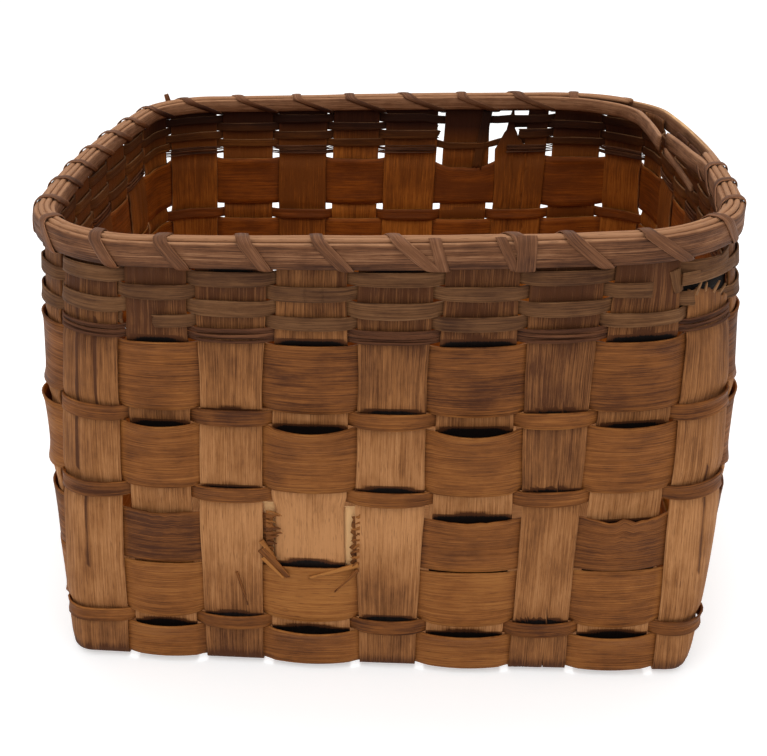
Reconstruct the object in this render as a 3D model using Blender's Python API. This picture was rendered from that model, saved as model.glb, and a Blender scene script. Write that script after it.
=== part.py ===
# Rectangular wood-splint basket: flat stakes cross in a plaited foot, turn up and
# stand as the walls, weavers go round them over one and under one, and two hoops
# hold the top edge between them, bound with one long spiral of lashing.
# Metres, +Z up. The origin is the middle of the footprint, on the ground.
# The front is at -Y, the long sides run along X.

import math

import bmesh
import bpy
import numpy as np
from mathutils import Vector

for old_object in list(bpy.data.objects):
    bpy.data.objects.remove(old_object, do_unlink=True)

mm = 0.001

# Stakes
stake_width = 34.0 * mm
stake_gap = 5.4 * mm
stake_thickness = 1.2 * mm
long_side_stakes = 9
short_side_stakes = 8
foot_bend_radius = 4.0 * mm

# Weavers
weaver_thickness = 1.0 * mm
foot_weaver_height = 21.0 * mm
lower_weaver_height = 30.7 * mm
upper_weaver_height = 35.6 * mm
narrow_weaver_height = 8.4 * mm
fibre_weaver_height = 7.0 * mm
trim_weaver_height = 6.8 * mm
row_gap = 0.45 * mm
open_band_height = 6.0 * mm
weaver_belly = 1.3 * mm
edge_swell = 1.2 * mm
foot_swell = 4.6 * mm
lap_inset = 3.0 * mm
broken_end_reach = 8.0 * mm

# Wall outline, on the middle of the stakes: how far the belly and the rim stand out
# beyond the foot at the middle of each side, and the bow of the walls at the rim
belly_length_flare = 6.05 * mm
belly_depth_flare = 11.25 * mm
rim_length_flare = 3.05 * mm
rim_depth_flare = 9.75 * mm
rim_corner_radius = 66.0 * mm
long_wall_bow = 6.0 * mm
short_wall_bow = 8.0 * mm
corner_growth_power = 1.2

# Rim
hoop_height = 12.2 * mm
hoop_thickness = 3.0 * mm
hoop_channel = 5.4 * mm
hoop_chamfer = 1.6 * mm
scarf_length = 55.0 * mm
scarf_tip = 0.6 * mm
scarf_shoulder = 0.1
filler_width = 2.5 * mm
filler_height = 2.2 * mm
lashing_width = 10.0 * mm
lashing_waist = 1.2 * mm
lashing_thickness = 0.8 * mm
lashing_lead = 14.0 * mm
lashing_tuck = 1.0 * mm
lashing_room_share = 1 / 3
filler_run_on = 0.5

clearance = 0.35 * mm

# Worked-out sizes
pitch = stake_width + stake_gap
stake_count = 2 * (long_side_stakes + short_side_stakes)
low_level = stake_thickness / 2
high_level = low_level + stake_thickness + clearance
foot_margin = foot_bend_radius + clearance - stake_gap / 2
foot_half_length = long_side_stakes * pitch / 2 + foot_margin
foot_half_depth = short_side_stakes * pitch / 2 + foot_margin
belly_half_length = foot_half_length + belly_length_flare
belly_half_depth = foot_half_depth + belly_depth_flare
rim_half_length = foot_half_length + rim_length_flare
rim_half_depth = foot_half_depth + rim_depth_flare
# This corner radius lets the stakes keep one pitch all the way round the foot.
foot_corner_radius = 8 * foot_margin / (8 - 2 * math.pi)
weave_offset = (stake_thickness + weaver_thickness) / 2 + clearance

# Rows of weavers from the foot up. Each row is: name, height, space under it, whether
# it passes outside the odd stakes of the ring, and the swell of its lower and upper edge
# where it passes outside.
rows = [
    ("foot_weaver", foot_weaver_height, 0.0, True, foot_swell, edge_swell),
    ("narrow_weaver_1", narrow_weaver_height, row_gap, False, 0.0, 0.0),
    ("wide_weaver_1", lower_weaver_height, row_gap, True, edge_swell, 0.0),
    ("wide_weaver_2", lower_weaver_height, row_gap, True, 0.0, edge_swell),
    ("narrow_weaver_2", narrow_weaver_height, open_band_height, False, 0.0, 0.0),
    ("wide_weaver_3", upper_weaver_height, row_gap, True, edge_swell, edge_swell),
    ("narrow_weaver_3", narrow_weaver_height, row_gap, False, 0.0, 0.0),
    ("wide_weaver_4", upper_weaver_height, row_gap, True, edge_swell, 0.0),
    ("fibre_weaver", fibre_weaver_height, row_gap, False, 0.0, 0.0),
    ("trim_weaver_1", trim_weaver_height, row_gap, True, 0.0, 0.0),
    ("trim_weaver_2", trim_weaver_height, row_gap, False, 0.0, 0.0),
    ("trim_weaver_3", trim_weaver_height, row_gap, True, 0.0, 0.0),
    ("trim_weaver_4", trim_weaver_height, row_gap, False, 0.0, 0.0),
]
# How far round the ring the ends of each row meet, as a share of its stakes, which are
# counted from the middle of the front, towards +X. One row is broken there.
lap_shares = {
    "foot_weaver": 0.559, "narrow_weaver_1": 0.529, "wide_weaver_1": 0.676,
    "wide_weaver_2": 0.971, "narrow_weaver_2": 0.647, "wide_weaver_3": 0.441,
    "narrow_weaver_3": 0.765, "wide_weaver_4": 0.735, "fibre_weaver": 0.588,
    "trim_weaver_1": 0.912, "trim_weaver_2": 0.412, "trim_weaver_3": 0.971,
    "trim_weaver_4": 0.706,
}
broken_row = "wide_weaver_2"
wall_foot = high_level + foot_bend_radius
row_bottoms = {}
row_top = wall_foot + clearance
for row in rows:
    row_bottoms[row[0]] = row_top + row[2]
    row_top += row[2] + row[1]
lashing_level = row_top + clearance + lashing_thickness / 2
hoop_bottom = lashing_level + lashing_thickness / 2 + clearance
hoop_top = hoop_bottom + hoop_height
filler_bottom = hoop_top - hoop_chamfer / 2
filler_top = filler_bottom + filler_height
stake_top = filler_bottom - 2 * clearance

# The stakes are straight between these heights, which lie between wide weavers.
wall_sections = [
    wall_foot,
    row_bottoms["wide_weaver_1"] - row_gap / 2,
    row_bottoms["narrow_weaver_2"] + narrow_weaver_height / 2,
    row_bottoms["narrow_weaver_3"] + narrow_weaver_height / 2,
    row_bottoms["fibre_weaver"] - row_gap / 2,
    lashing_level,
    stake_top,
]
# The rim pieces all bend at the gaps between the stakes, and in the corners also at the
# middle of each stake, so that they stay the same distance apart all the way round.
rim_level = hoop_bottom + hoop_height / 2
corner_places = [long_side_stakes / 2, stake_count / 2 - long_side_stakes / 2,
                 stake_count / 2 + long_side_stakes / 2, stake_count - long_side_stakes / 2]
corner_reach = 1.0
next_bend_reach = 2.0
# Where the rim is whole and where it has come apart, in places round the ring.
outer_hoop_joint = 24.4
inner_hoop_joint = 12.0
patch_joint = 8.1
lashed_from = 13.5
lashed_to = 41.5

outline_cache = {}


def through_three(share, foot, middle, rim):
    # A smooth curve through its values at the foot, at half height and at the rim.
    return (foot * (1 - share) * (1 - 2 * share) + 4 * middle * share * (1 - share)
            + rim * share * (2 * share - 1))


def outline(height):
    # The plan of the wall at this height: points from the middle of the front,
    # counter-clockwise from above, with the length run so far at each of them.
    # Between the hoops the wall stands upright.
    key = round(height / mm, 4)
    if key in outline_cache:
        return outline_cache[key]
    share = min(1.0, height / lashing_level)
    long_bow = long_wall_bow * share
    short_bow = short_wall_bow * share
    half_length = through_three(share, foot_half_length, belly_half_length, rim_half_length) - short_bow
    half_depth = through_three(share, foot_half_depth, belly_half_depth, rim_half_depth) - long_bow
    radius = foot_corner_radius + (rim_corner_radius - foot_corner_radius) * share ** corner_growth_power
    straight = np.linspace(0.0, 1.0, 14)[:-1]
    turn = np.linspace(0.0, math.pi / 2, 20)[:-1]
    flat_length = half_length - radius
    flat_depth = half_depth - radius
    xs = np.concatenate([
        flat_length * straight,
        flat_length + radius * np.sin(turn),
        np.full(len(straight), half_length),
        np.full(len(straight), half_length),
        flat_length + radius * np.cos(turn),
        flat_length * (1 - straight)])
    ys = np.concatenate([
        np.full(len(straight), -half_depth),
        -flat_depth - radius * np.cos(turn),
        -flat_depth * (1 - straight),
        flat_depth * straight,
        flat_depth + radius * np.sin(turn),
        np.full(len(straight), half_depth)])
    xs = np.concatenate([xs, -xs, [0.0]])
    ys = np.concatenate([ys, -ys, [-half_depth]])
    bowed_xs = xs + short_bow * (1 - (ys / half_depth) ** 2) * xs / half_length
    bowed_ys = ys + long_bow * (1 - (xs / half_length) ** 2) * ys / half_depth
    steps = np.hypot(np.diff(bowed_xs), np.diff(bowed_ys))
    run = np.concatenate([[0.0], np.cumsum(steps)])
    outline_cache[key] = (bowed_xs, bowed_ys, run)
    return outline_cache[key]


def on_wall(place, height, along=0.0):
    # The point of the wall's middle surface at this place round the ring of stakes,
    # moved along the wall by a length.
    xs, ys, run = outline(height)
    length = (place / stake_count * run[-1] + along) % run[-1]
    return Vector((np.interp(length, run, xs), np.interp(length, run, ys), height))


def stake_edges(place, height):
    return on_wall(place, height, -stake_width / 2), on_wall(place, height, stake_width / 2)


def stake_frame(place, height):
    # Where the flat stake at this place has its middle and half width at this height,
    # and the way it faces. It is straight between two sections of the wall.
    above = 1
    while above < len(wall_sections) - 1 and wall_sections[above] < height:
        above += 1
    below = wall_sections[above - 1]
    share = (height - below) / (wall_sections[above] - below)
    low_edge, high_edge = (lower.lerp(upper, share) for lower, upper in zip(
        stake_edges(place, below), stake_edges(place, wall_sections[above])))
    half = (high_edge - low_edge) / 2
    return (low_edge + high_edge) / 2, half, Vector((half.y, -half.x, 0.0)).normalized()


def twist(place, low, high):
    # How far the stake's edges lean out of its flat between two heights.
    _, low_half, normal = stake_frame(place, low)
    _, high_half, _ = stake_frame(place, high)
    return abs((high_half - low_half).dot(normal)) / 2


def twist_room(place, bottom, top):
    # A flat stake that turns as it rises isn't flat from corner to corner. This is the
    # room that it and a weaver of this height need for that.
    spans = [(low, high) for low, high in zip(wall_sections[:-1], wall_sections[1:])
             if high > bottom and low < top]
    return max(twist(place, low, high) for low, high in spans) + twist(place, bottom, top)


def rim_bends(start, end):
    # The places between these two where the rim pieces bend.
    bends = []
    half_places = range(math.floor(2 * start), math.ceil(2 * end) + 1)
    for place in (half / 2 for half in half_places):
        near_corner = any(abs(place % stake_count - corner) <= corner_reach for corner in corner_places)
        if start < place < end and (near_corner or place % 1 > 0):
            bends.append(place)
    return bends


def rim_bend(place):
    # The middle of the rim at a bend, the way it faces, and how far outside that middle
    # the edges of the stakes are. The hoops run past stakes that stay flat, so in
    # a corner they share the hollow under the curve.
    wall = on_wall(place, rim_level)
    left, right = stake_edges(place, rim_level)
    normal = Vector((right.y - left.y, left.x - right.x, 0.0)).normalized()
    edge_offset = (wall - (left + right) / 2).dot(normal) / 2
    return wall - normal * edge_offset, normal, edge_offset


def off_rim(place, height, offset):
    bends = rim_bends(place - next_bend_reach, place + next_bend_reach)
    before = max(bend for bend in bends if bend <= place)
    after = min(bend for bend in bends if bend > place)
    share = (place - before) / (after - before)
    first_point, first_normal, _ = rim_bend(before)
    next_point, next_normal, _ = rim_bend(after)
    point = first_point.lerp(next_point, share)
    normal = first_normal.lerp(next_normal, share)
    point = point + normal * offset
    point.z = height
    return point


def rim_turn(place):
    # How far the rim turns at this bend, in radians.
    bends = rim_bends(place - next_bend_reach, place + next_bend_reach)
    before, here, after = (rim_bend(bend)[0] for bend in (
        max(bend for bend in bends if bend < place), place,
        min(bend for bend in bends if bend > place)))
    return (here - before).angle(after - here)


def make_material(name, colour, roughness):
    material = bpy.data.materials.new(name)
    material.use_nodes = True
    shader = material.node_tree.nodes["Principled BSDF"]
    shader.inputs["Base Color"].default_value = (*colour, 1.0)
    shader.inputs["Roughness"].default_value = roughness
    shader.inputs["Metallic"].default_value = 0.0
    return material


def sweep(name, sections, material, folded=False):
    # Pulls the first section's face from one section to the next. A thin strip that twists
    # is folded along the same corners on both its faces, so that it keeps its thickness:
    # the first two corners of its section are on its inner face, the last two outside.
    mesh = bmesh.new()
    start_cap = mesh.faces.new([mesh.verts.new(point) for point in sections[0]])
    front = start_cap
    rings = [list(front.verts)]
    for section in sections[1:]:
        pulled = bmesh.ops.extrude_face_region(mesh, geom=[front])
        if front is not start_cap:
            bmesh.ops.delete(mesh, geom=[front], context="FACES_ONLY")
        front = next(item for item in pulled["geom"] if isinstance(item, bmesh.types.BMFace))
        for corner, point in zip(front.verts, section):
            corner.co = point
        rings.append(list(front.verts))
    for ring, next_ring in zip(rings[:-1], rings[1:]) if folded else ():
        for ends in ((ring[0], next_ring[1]), (ring[3], next_ring[2])):
            side = next(face for face in ends[0].link_faces if ends[1] in face.verts)
            bmesh.utils.face_split(side, *ends)
    bmesh.ops.recalc_face_normals(mesh, faces=mesh.faces)
    data = bpy.data.meshes.new(name)
    mesh.to_mesh(data)
    mesh.free()
    data.materials.append(material)
    thing = bpy.data.objects.new(name, data)
    bpy.context.scene.collection.objects.link(thing)
    return thing


def stake_section(low_edge, high_edge, normal):
    half = normal * (stake_thickness / 2)
    return [low_edge - half, high_edge - half, high_edge + half, low_edge + half]


def stake_leg(place, middle, out, level, turned):
    # One upright end of a stake, from the rim down to where it lies flat in the foot.
    # middle is where its centre line meets the edge of the foot, out points away
    # from the basket there, and turned says that the ring runs the other way there.
    bend_top = level + foot_bend_radius
    sections = []
    for height in reversed(wall_sections):
        centre, half, normal = stake_frame(place, height)
        if turned:
            half = -half
        sections.append(stake_section(centre - half, centre + half, normal))
    half = Vector((abs(out.y), abs(out.x), 0.0)) * (stake_width / 2)
    for angle in (math.pi / 4, math.pi / 2):
        centre = middle - out * foot_bend_radius * (1 - math.cos(angle))
        centre = centre + Vector((0.0, 0.0, bend_top - foot_bend_radius * math.sin(angle)))
        normal = out * math.cos(angle) - Vector((0.0, 0.0, math.sin(angle)))
        sections.append(stake_section(centre - half, centre + half, normal))
    return sections


def stake_places(count):
    return [(number - (count - 1) / 2) * pitch for number in range(count)]


def through_foot(places, levels, run, across):
    # The stake's flat sections where it passes over and under the stakes it crosses.
    down = Vector((0.0, 0.0, -1.0))
    sections = []
    for number, (place, level) in enumerate(zip(places, levels)):
        edges = [place - stake_width / 2, place + stake_width / 2]
        if number == 0:
            edges = edges[1:]
        if number == len(places) - 1:
            edges = edges[:1]
        for edge in edges:
            centre = run(edge, level)
            sections.append(stake_section(centre - across, centre + across, down))
    return sections


def make_stakes(material):
    long_places = stake_places(long_side_stakes)
    short_places = stake_places(short_side_stakes)
    half_turn = stake_count / 2
    quarter = stake_count / 4
    for number, x in enumerate(long_places):
        levels = [high_level if (number + other) % 2 == 0 else low_level
                  for other in range(short_side_stakes)]
        ring = number - (long_side_stakes - 1) / 2
        front = Vector((x, -foot_half_depth, 0.0))
        back = Vector((x, foot_half_depth, 0.0))
        sections = stake_leg(ring, front, Vector((0, -1, 0)), levels[0], False)
        sections += through_foot(short_places, levels, lambda y, z, x=x: Vector((x, y, z)),
                                 Vector((stake_width / 2, 0, 0)))
        sections += reversed(stake_leg(half_turn - ring, back, Vector((0, 1, 0)), levels[-1], True))
        sweep(f"long_stake_{number + 1}", sections, material, folded=True)
    for number, y in enumerate(short_places):
        levels = [low_level if (number + other) % 2 == 0 else high_level
                  for other in range(long_side_stakes)]
        ring = number - (short_side_stakes - 1) / 2
        left = Vector((-foot_half_length, y, 0.0))
        right = Vector((foot_half_length, y, 0.0))
        sections = stake_leg(-quarter - ring, left, Vector((-1, 0, 0)), levels[0], True)
        sections += through_foot(long_places, levels, lambda x, z, y=y: Vector((x, y, z)),
                                 Vector((0, stake_width / 2, 0)))
        sections += reversed(stake_leg(quarter + ring, right, Vector((1, 0, 0)), levels[-1], False))
        sweep(f"short_stake_{number + 1}", sections, material, folded=True)


def weaver_section(place, bottom, top, offset, along):
    # along is where on the stake's width the section lies, from -1 to 1 at its edges.
    section = []
    for depth, heights in ((-1, (bottom, top)), (1, (top, bottom))):
        for height in heights:
            centre, half, normal = stake_frame(place, height)
            section.append(centre + half * along + normal * (offset + depth * weaver_thickness / 2))
    return section


def make_weaver(row, bottom, material):
    name, height, _, outside_odd, swell_down, swell_up = row
    joint = round(lap_shares[name] * stake_count)
    broken = name == broken_row
    top = bottom + height
    bellied = swell_down + swell_up > 0
    second_layer = weave_offset + weaver_thickness + clearance
    lap_end = 1 - 2 * lap_inset / stake_width
    broken_end = 1 - 2 * broken_end_reach / stake_width
    sections = []

    def add(place, offset, along):
        room = math.copysign(twist_room(place, bottom, top), offset)
        sections.append(weaver_section(place, bottom, top, offset + room, along))

    def add_crest(place, offset):
        room = twist_room(place, bottom, top)
        if bellied:
            sections.append(weaver_section(place, bottom - swell_down, top + swell_up,
                                           offset + room + weaver_belly, 0.0))

    if broken:
        add(joint, weave_offset, broken_end)
    else:
        add(joint, weave_offset, -lap_end)
        add_crest(joint, weave_offset)
    add(joint, weave_offset, 1)
    for place in range(joint + 1, joint + stake_count):
        outside = (place % 2 == 1) == outside_odd
        offset = weave_offset if outside else -weave_offset
        add(place, offset, -1)
        if outside:
            add_crest(place, offset)
        add(place, offset, 1)
    if broken:
        add(joint, weave_offset, -1)
        add(joint, weave_offset, -broken_end)
    else:
        add(joint, second_layer, -1)
        add_crest(joint, second_layer)
        add(joint, second_layer, lap_end)
    sweep(name, sections, material, folded=True)


def make_weavers(materials):
    for row in rows:
        finish = next(key for key in materials if row[0].startswith(key))
        make_weaver(row, row_bottoms[row[0]], materials[finish])


def scarf_places():
    ring_length = outline(rim_level)[2][-1]
    return scarf_length / ring_length * stake_count


def make_hoop(name, start, end, inner, outer, material):
    # A hoop of split wood from one place round the ring to another. Each end thins to
    # a tip over the scarf's length, the first outside and the last inside, so that the
    # two ends of a hoop lie on each other.
    scarf = scarf_places()
    shoulder = scarf * scarf_shoulder
    ends = [start, start + scarf, start + scarf + shoulder, end - scarf - shoulder, end - scarf, end]
    thickness = outer - inner
    tip_cut = thickness - scarf_tip
    root_cut = scarf_tip + clearance
    sections = []
    for place in sorted(ends + rim_bends(start, end)):
        inner_cut = np.interp(place, ends, [tip_cut, root_cut, 0, 0, 0, 0])
        outer_cut = np.interp(place, ends, [0, 0, 0, 0, root_cut, tip_cut])
        sections.append(hoop_section(place, inner + inner_cut, outer - outer_cut, inner > 0))
    sweep(name, sections, material)


def hoop_section(place, low, high, is_outer):
    # The edge that faces the channel is chamfered at the top, where the fillers sit.
    halfway = (low + high) / 2
    shoulder = hoop_top - hoop_chamfer
    if is_outer:
        return [off_rim(place, hoop_bottom, low), off_rim(place, hoop_bottom, high),
                off_rim(place, hoop_top, high), off_rim(place, hoop_top, halfway),
                off_rim(place, shoulder, low)]
    return [off_rim(place, hoop_bottom, low), off_rim(place, hoop_bottom, high),
            off_rim(place, shoulder, high), off_rim(place, hoop_top, halfway),
            off_rim(place, hoop_top, low)]


def make_fillers(material):
    start = lashed_from - filler_run_on
    end = lashed_to + filler_run_on
    for name, side in (("outer_filler", 1), ("inner_filler", -1)):
        low, high = sorted([side * clearance / 2, side * (clearance / 2 + filler_width)])
        sections = []
        for place in [start] + rim_bends(start, end) + [end]:
            sections.append([off_rim(place, filler_bottom, low), off_rim(place, filler_bottom, high),
                             off_rim(place, filler_top, high), off_rim(place, filler_top, low)])
        sweep(name, sections, material)


def lashing_section(place, along, offset, height, width, up, out):
    # up and out say which way the strip's thickness points, as it turns the edges.
    places_per_length = stake_count / outline(rim_level)[2][-1]
    edges = []
    for side in (-width / 2, width / 2):
        edge = place + (along + side) * places_per_length
        point = off_rim(edge, height, offset)
        normal = (off_rim(edge, height, offset + clearance) - point).normalized()
        thick = (normal * out + Vector((0.0, 0.0, up))) * (lashing_thickness / 2)
        edges.append((point - thick, point + thick))
    return [edges[0][0], edges[0][1], edges[1][1], edges[1][0]]


def make_lashing(material):
    reach = hoop_channel / 2 + hoop_thickness + clearance + lashing_thickness / 2
    over = filler_top + clearance + lashing_thickness / 2
    under = lashing_level
    wide = lashing_width
    past_stake = stake_thickness / 2 + clearance
    sections = []
    place = lashed_from
    while place <= lashed_to:
        # The strip lies straight across the bend in the outer hoop, so it needs room there.
        outer = reach + rim_turn(place) * lashing_width * lashing_room_share
        sections.append(lashing_section(place, -lashing_lead, outer, over, wide, 1, 1))
        sections.append(lashing_section(place, -lashing_tuck, outer, under, wide, -1, 1))
        edge_offset = rim_bend(place)[2]
        for offset in (edge_offset + past_stake, edge_offset - past_stake):
            sections.append(lashing_section(place, 0.0, offset, under, lashing_waist, -1, 0))
        sections.append(lashing_section(place, lashing_tuck, -reach, under, wide, -1, -1))
        sections.append(lashing_section(place, lashing_lead, -reach, over, wide, 1, -1))
        place += 1
    sweep("rim_lashing", sections, material)


def main():
    stake_wood = make_material("stake_wood", (0.33, 0.18, 0.10), 0.75)
    wide_wood = make_material("weaver_wood", (0.30, 0.14, 0.06), 0.65)
    trim_wood = make_material("trim_wood", (0.24, 0.16, 0.10), 0.75)
    fibre_wood = make_material("fibre_wood", (0.10, 0.05, 0.03), 0.9)
    rim_wood = make_material("rim_wood", (0.16, 0.08, 0.05), 0.7)
    lashing_wood = make_material("lashing_wood", (0.18, 0.09, 0.05), 0.65)
    make_stakes(stake_wood)
    make_weavers({"foot": wide_wood, "wide": wide_wood, "narrow": wide_wood,
                  "trim": trim_wood, "fibre": fibre_wood})
    near = hoop_channel / 2
    far = near + hoop_thickness
    lap = stake_count + scarf_places()
    make_hoop("outer_hoop", outer_hoop_joint, outer_hoop_joint + lap, near, far, rim_wood)
    make_hoop("inner_hoop", inner_hoop_joint, patch_joint + lap, -far, -near, rim_wood)
    make_hoop("inner_hoop_patch", patch_joint, inner_hoop_joint + scarf_places(), -far, -near, rim_wood)
    make_fillers(rim_wood)
    make_lashing(lashing_wood)


main()
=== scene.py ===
import math

import bmesh
import bpy
import numpy as np
from mathutils import Matrix, Vector


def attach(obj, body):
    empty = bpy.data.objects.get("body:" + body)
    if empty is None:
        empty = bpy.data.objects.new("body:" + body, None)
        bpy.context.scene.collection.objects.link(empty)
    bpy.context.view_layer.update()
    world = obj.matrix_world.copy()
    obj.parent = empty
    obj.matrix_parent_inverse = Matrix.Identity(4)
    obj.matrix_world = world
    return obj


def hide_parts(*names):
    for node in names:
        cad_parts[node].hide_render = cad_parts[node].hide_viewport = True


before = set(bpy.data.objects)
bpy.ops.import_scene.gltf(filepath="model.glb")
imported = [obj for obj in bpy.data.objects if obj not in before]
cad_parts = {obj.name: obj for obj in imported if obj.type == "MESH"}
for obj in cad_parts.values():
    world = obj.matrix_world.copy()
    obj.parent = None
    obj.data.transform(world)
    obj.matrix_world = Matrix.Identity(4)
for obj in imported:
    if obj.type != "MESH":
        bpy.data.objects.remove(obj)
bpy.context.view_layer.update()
mm = 0.001
print("frame loaded:", len(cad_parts), "nodes")

# The wall that all strips follow. Three values are those at the foot, half way up and at the rim,
# two are those at the foot and at the rim. All in mm.
wall = {
    "halfLeft": (179.0, 184.4, 181.5), "halfRight": (165.3, 173.2, 158.8),
    "halfFront": (173.0, 167.6, 164.4), "halfBack": (155.0, 164.2, 164.4),
    "bowFront": (2.9, 10.3), "bowBack": (0.0, 3.2), "bowSide": (0.0, 14.7),
    "frontPitch": (41.3, 39.05), "backPitch": (41.3, 40.3), "sidePitch": 37.4,
    "cornerFoot": 11.0, "cornerGrowth": 1.2,
    "cornerRim": {"frontRight": 52.5, "backRight": 62.0, "backLeft": 35.6, "frontLeft": 58.7},
    "shift": (6.2, 7.0), "rimShift": 3.0,
    "top": 238.0,                            # upright above this
    "leanRight": 5.7, "leanBack": -5.5,      # how much higher the rim stands at its right and its back
    "leanTop": 240.0, "leanHalf": (180, 165),                  # the height and half sizes that these are for
    "rowRise": 5.0, "riseHalf": 140,         # how much the rows climb on the right, half way up
    "strip": 39.4,                           # length of wood that a place counts for
    "reach": 0.12,                           # places over which the way along the wall is measured
}

# A place is a number round the basket: 0 at the middle stake of the front, one more for each stake
# towards +X, and back at 0 after the 34 stakes.
ringPlaces = 34
halfRing = 17
placeParts = 20            # points of the wall's table for each place
quarterParts = 170
tableTop = 250.0
tableStep = 5.0
heightSteps = np.linspace(0.0, tableTop, 51)
placeSteps = np.linspace(0.0, ringPlaces, ringPlaces * placeParts + 1)

# Where the gaps between the nine front stakes really are, in places, at four heights (mm).
frontGapHeights = (0.0, 100.0, 177.0, 216.0)
frontGapShift = (
    (0.00, -0.04, -0.15, 0.04, -0.10, 0.05, -0.08, 0.00),
    (0.00, -0.09, -0.15, -0.05, -0.05, 0.10, -0.04, 0.00),
    (0.00, -0.07, -0.14, -0.06, -0.08, 0.01, -0.03, 0.00),
    (0.00, -0.11, -0.11, -0.11, -0.05, -0.01, 0.01, 0.00),
)


def throughThree(share, values):
    foot, middle, rim = values
    lower = foot * (1 - share) * (1 - 2 * share)
    return lower + 4 * middle * share * (1 - share) + rim * share * (2 * share - 1)


def atShare(share, values):
    return values[0] + (values[1] - values[0]) * share


def ramp(value, size):
    # Climbs from 0 to 1 while value goes from 0 to size.
    return np.clip(value / size, 0, 1)


def apart(place, spot):
    # How far two places lie from each other round the ring.
    return np.abs((place - spot + halfRing) % ringPlaces - halfRing)


def quarterOutline(halfX, halfY, radius, bowX, bowY, pitch):
    # From the middle of a long side round one corner to the middle of a short side. The stakes
    # of the long side keep one pitch.
    straight, turn = np.linspace(0, 1, 30), np.linspace(0, math.pi / 2, 40)
    flatX, flatY = halfX - radius, halfY - radius
    xs = np.concatenate([flatX * straight, flatX + radius * np.sin(turn), np.full(30, halfX)])
    ys = np.concatenate([np.full(30, halfY), flatY + radius * np.cos(turn), flatY * (1 - straight)])
    bowedX = xs + bowY * (1 - (ys / halfY) ** 2) * xs / halfX
    bowedY = ys + bowX * (1 - (xs / halfX) ** 2) * ys / halfY
    run = np.concatenate([[0], np.cumsum(np.hypot(np.diff(bowedX), np.diff(bowedY)))])
    spots = np.interp(np.linspace(0, 8.5, quarterParts + 1), [0, 4, 8.5], [0, 4 * pitch, run[-1]])
    return np.interp(spots, run, bowedX), np.interp(spots, run, bowedY)


def buildWallTable():
    # The four quarters in the order of the places, with the ways that x and y go in each.
    quarters = (("Right", "Front", 1, -1), ("Right", "Back", 1, 1),
                ("Left", "Back", -1, 1), ("Left", "Front", -1, -1))
    table = np.zeros((len(heightSteps), len(placeSteps), 2))
    for row, height in enumerate(heightSteps):
        share = min(1.0, height / wall["top"])
        for number, (side, end, wayX, wayY) in enumerate(quarters):
            rimRadius = wall["cornerRim"][end.lower() + side]
            x, y = quarterOutline(
                throughThree(share, wall["half" + side]), throughThree(share, wall["half" + end]),
                atShare(share ** wall["cornerGrowth"], (wall["cornerFoot"], rimRadius)),
                atShare(share, wall["bow" + end]), atShare(share, wall["bowSide"]),
                atShare(share, wall[end.lower() + "Pitch"]))
            quarter = np.stack([wayX * x, wayY * y], 1)
            first = number * quarterParts
            table[row, first:first + quarterParts + 1] = quarter if number % 2 == 0 else quarter[::-1]
        table[row, :, 0] += wall["shift"][0] + wall["rimShift"] * share ** 2
        table[row, :, 1] += wall["shift"][1]
    return table * mm


wallTable = buildWallTable()


def onWall(place, height):
    # Points of the wall's middle surface; height in mm, result in metres.
    row = np.clip(height, 0, tableTop - 0.01) / tableStep
    column = np.mod(place, float(ringPlaces)) * float(placeParts)
    low = np.minimum(np.floor(row).astype(int), len(heightSteps) - 2)
    left = np.minimum(np.floor(column).astype(int), len(placeSteps) - 2)
    a, b = (row - low)[..., None], (column - left)[..., None]
    return ((wallTable[low, left] * (1 - b) + wallTable[low, left + 1] * b) * (1 - a)
            + (wallTable[low + 1, left] * (1 - b) + wallTable[low + 1, left + 1] * b) * a)


def offWall(place, height, offset):
    # A point moved out from the wall by offset (mm); height (mm) may lie below the ground line.
    values = (np.asarray(value, float) for value in (place, height, offset))
    place, height, offset = np.broadcast_arrays(*values)
    spot = onWall(place, height)
    along = onWall(place + wall["reach"], height) - onWall(place - wall["reach"], height)
    normal = np.stack([along[..., 1], -along[..., 0]], -1)
    normal /= np.linalg.norm(normal, axis=-1, keepdims=True)
    flat = spot + normal * (offset * mm)[..., None]
    east = flat[..., 0] / mm - wall["shift"][0]
    north = flat[..., 1] / mm - wall["shift"][1]
    share = np.clip(height / wall["leanTop"], 0, 1.1)
    halfEast, halfNorth = wall["leanHalf"]
    rise = (wall["leanRight"] * east / halfEast + wall["leanBack"] * north / halfNorth) * share ** 2
    climb = wall["rowRise"] * np.clip(east / wall["riseHalf"], 0, 1.2) ** 2
    rise += climb * np.clip(4 * share * (1 - share), 0, 1)
    return np.concatenate([flat, ((height + rise) * mm)[..., None]], -1)


def wobble(seed, spots, size):
    # Smooth wander along a strip: a few sines with seeded phases, about -1 to 1.
    source = np.random.default_rng(seed + 1000)
    spots = np.asarray(spots, float)
    total = np.zeros_like(spots)
    for level in range(4):
        pace, start = source.uniform(0.7, 1.4), source.uniform(0, 6.28)
        total += np.sin(spots * pace * (level + 1) / size + start) / (level + 1.5)
    return total / 1.6


def buildGapShifts():
    source = np.random.default_rng(41)
    shifts = source.uniform(-0.055, 0.055, (ringPlaces, 4))
    shifts = shifts.mean(1, keepdims=True) * 0.9 + shifts * 0.35
    for level, row in enumerate(frontGapShift):
        for number, shift in enumerate(row):
            shifts[(number - 4) % ringPlaces, level] = shift
    return shifts


gapShifts = buildGapShifts()


def gapPlace(gap, height):
    # The place of the gap that follows stake number gap, at this height.
    gap = np.asarray(gap)
    height = np.broadcast_to(np.asarray(height, float), gap.shape)
    step = np.clip(np.searchsorted(frontGapHeights, height, side="right") - 1, 0, 2)
    levels = np.asarray(frontGapHeights)
    share = np.clip((height - levels[step]) / (levels[step + 1] - levels[step]), 0, 1)
    index = np.mod(gap, ringPlaces)
    return gap + 0.5 + gapShifts[index, step] * (1 - share) + gapShifts[index, step + 1] * share


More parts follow.
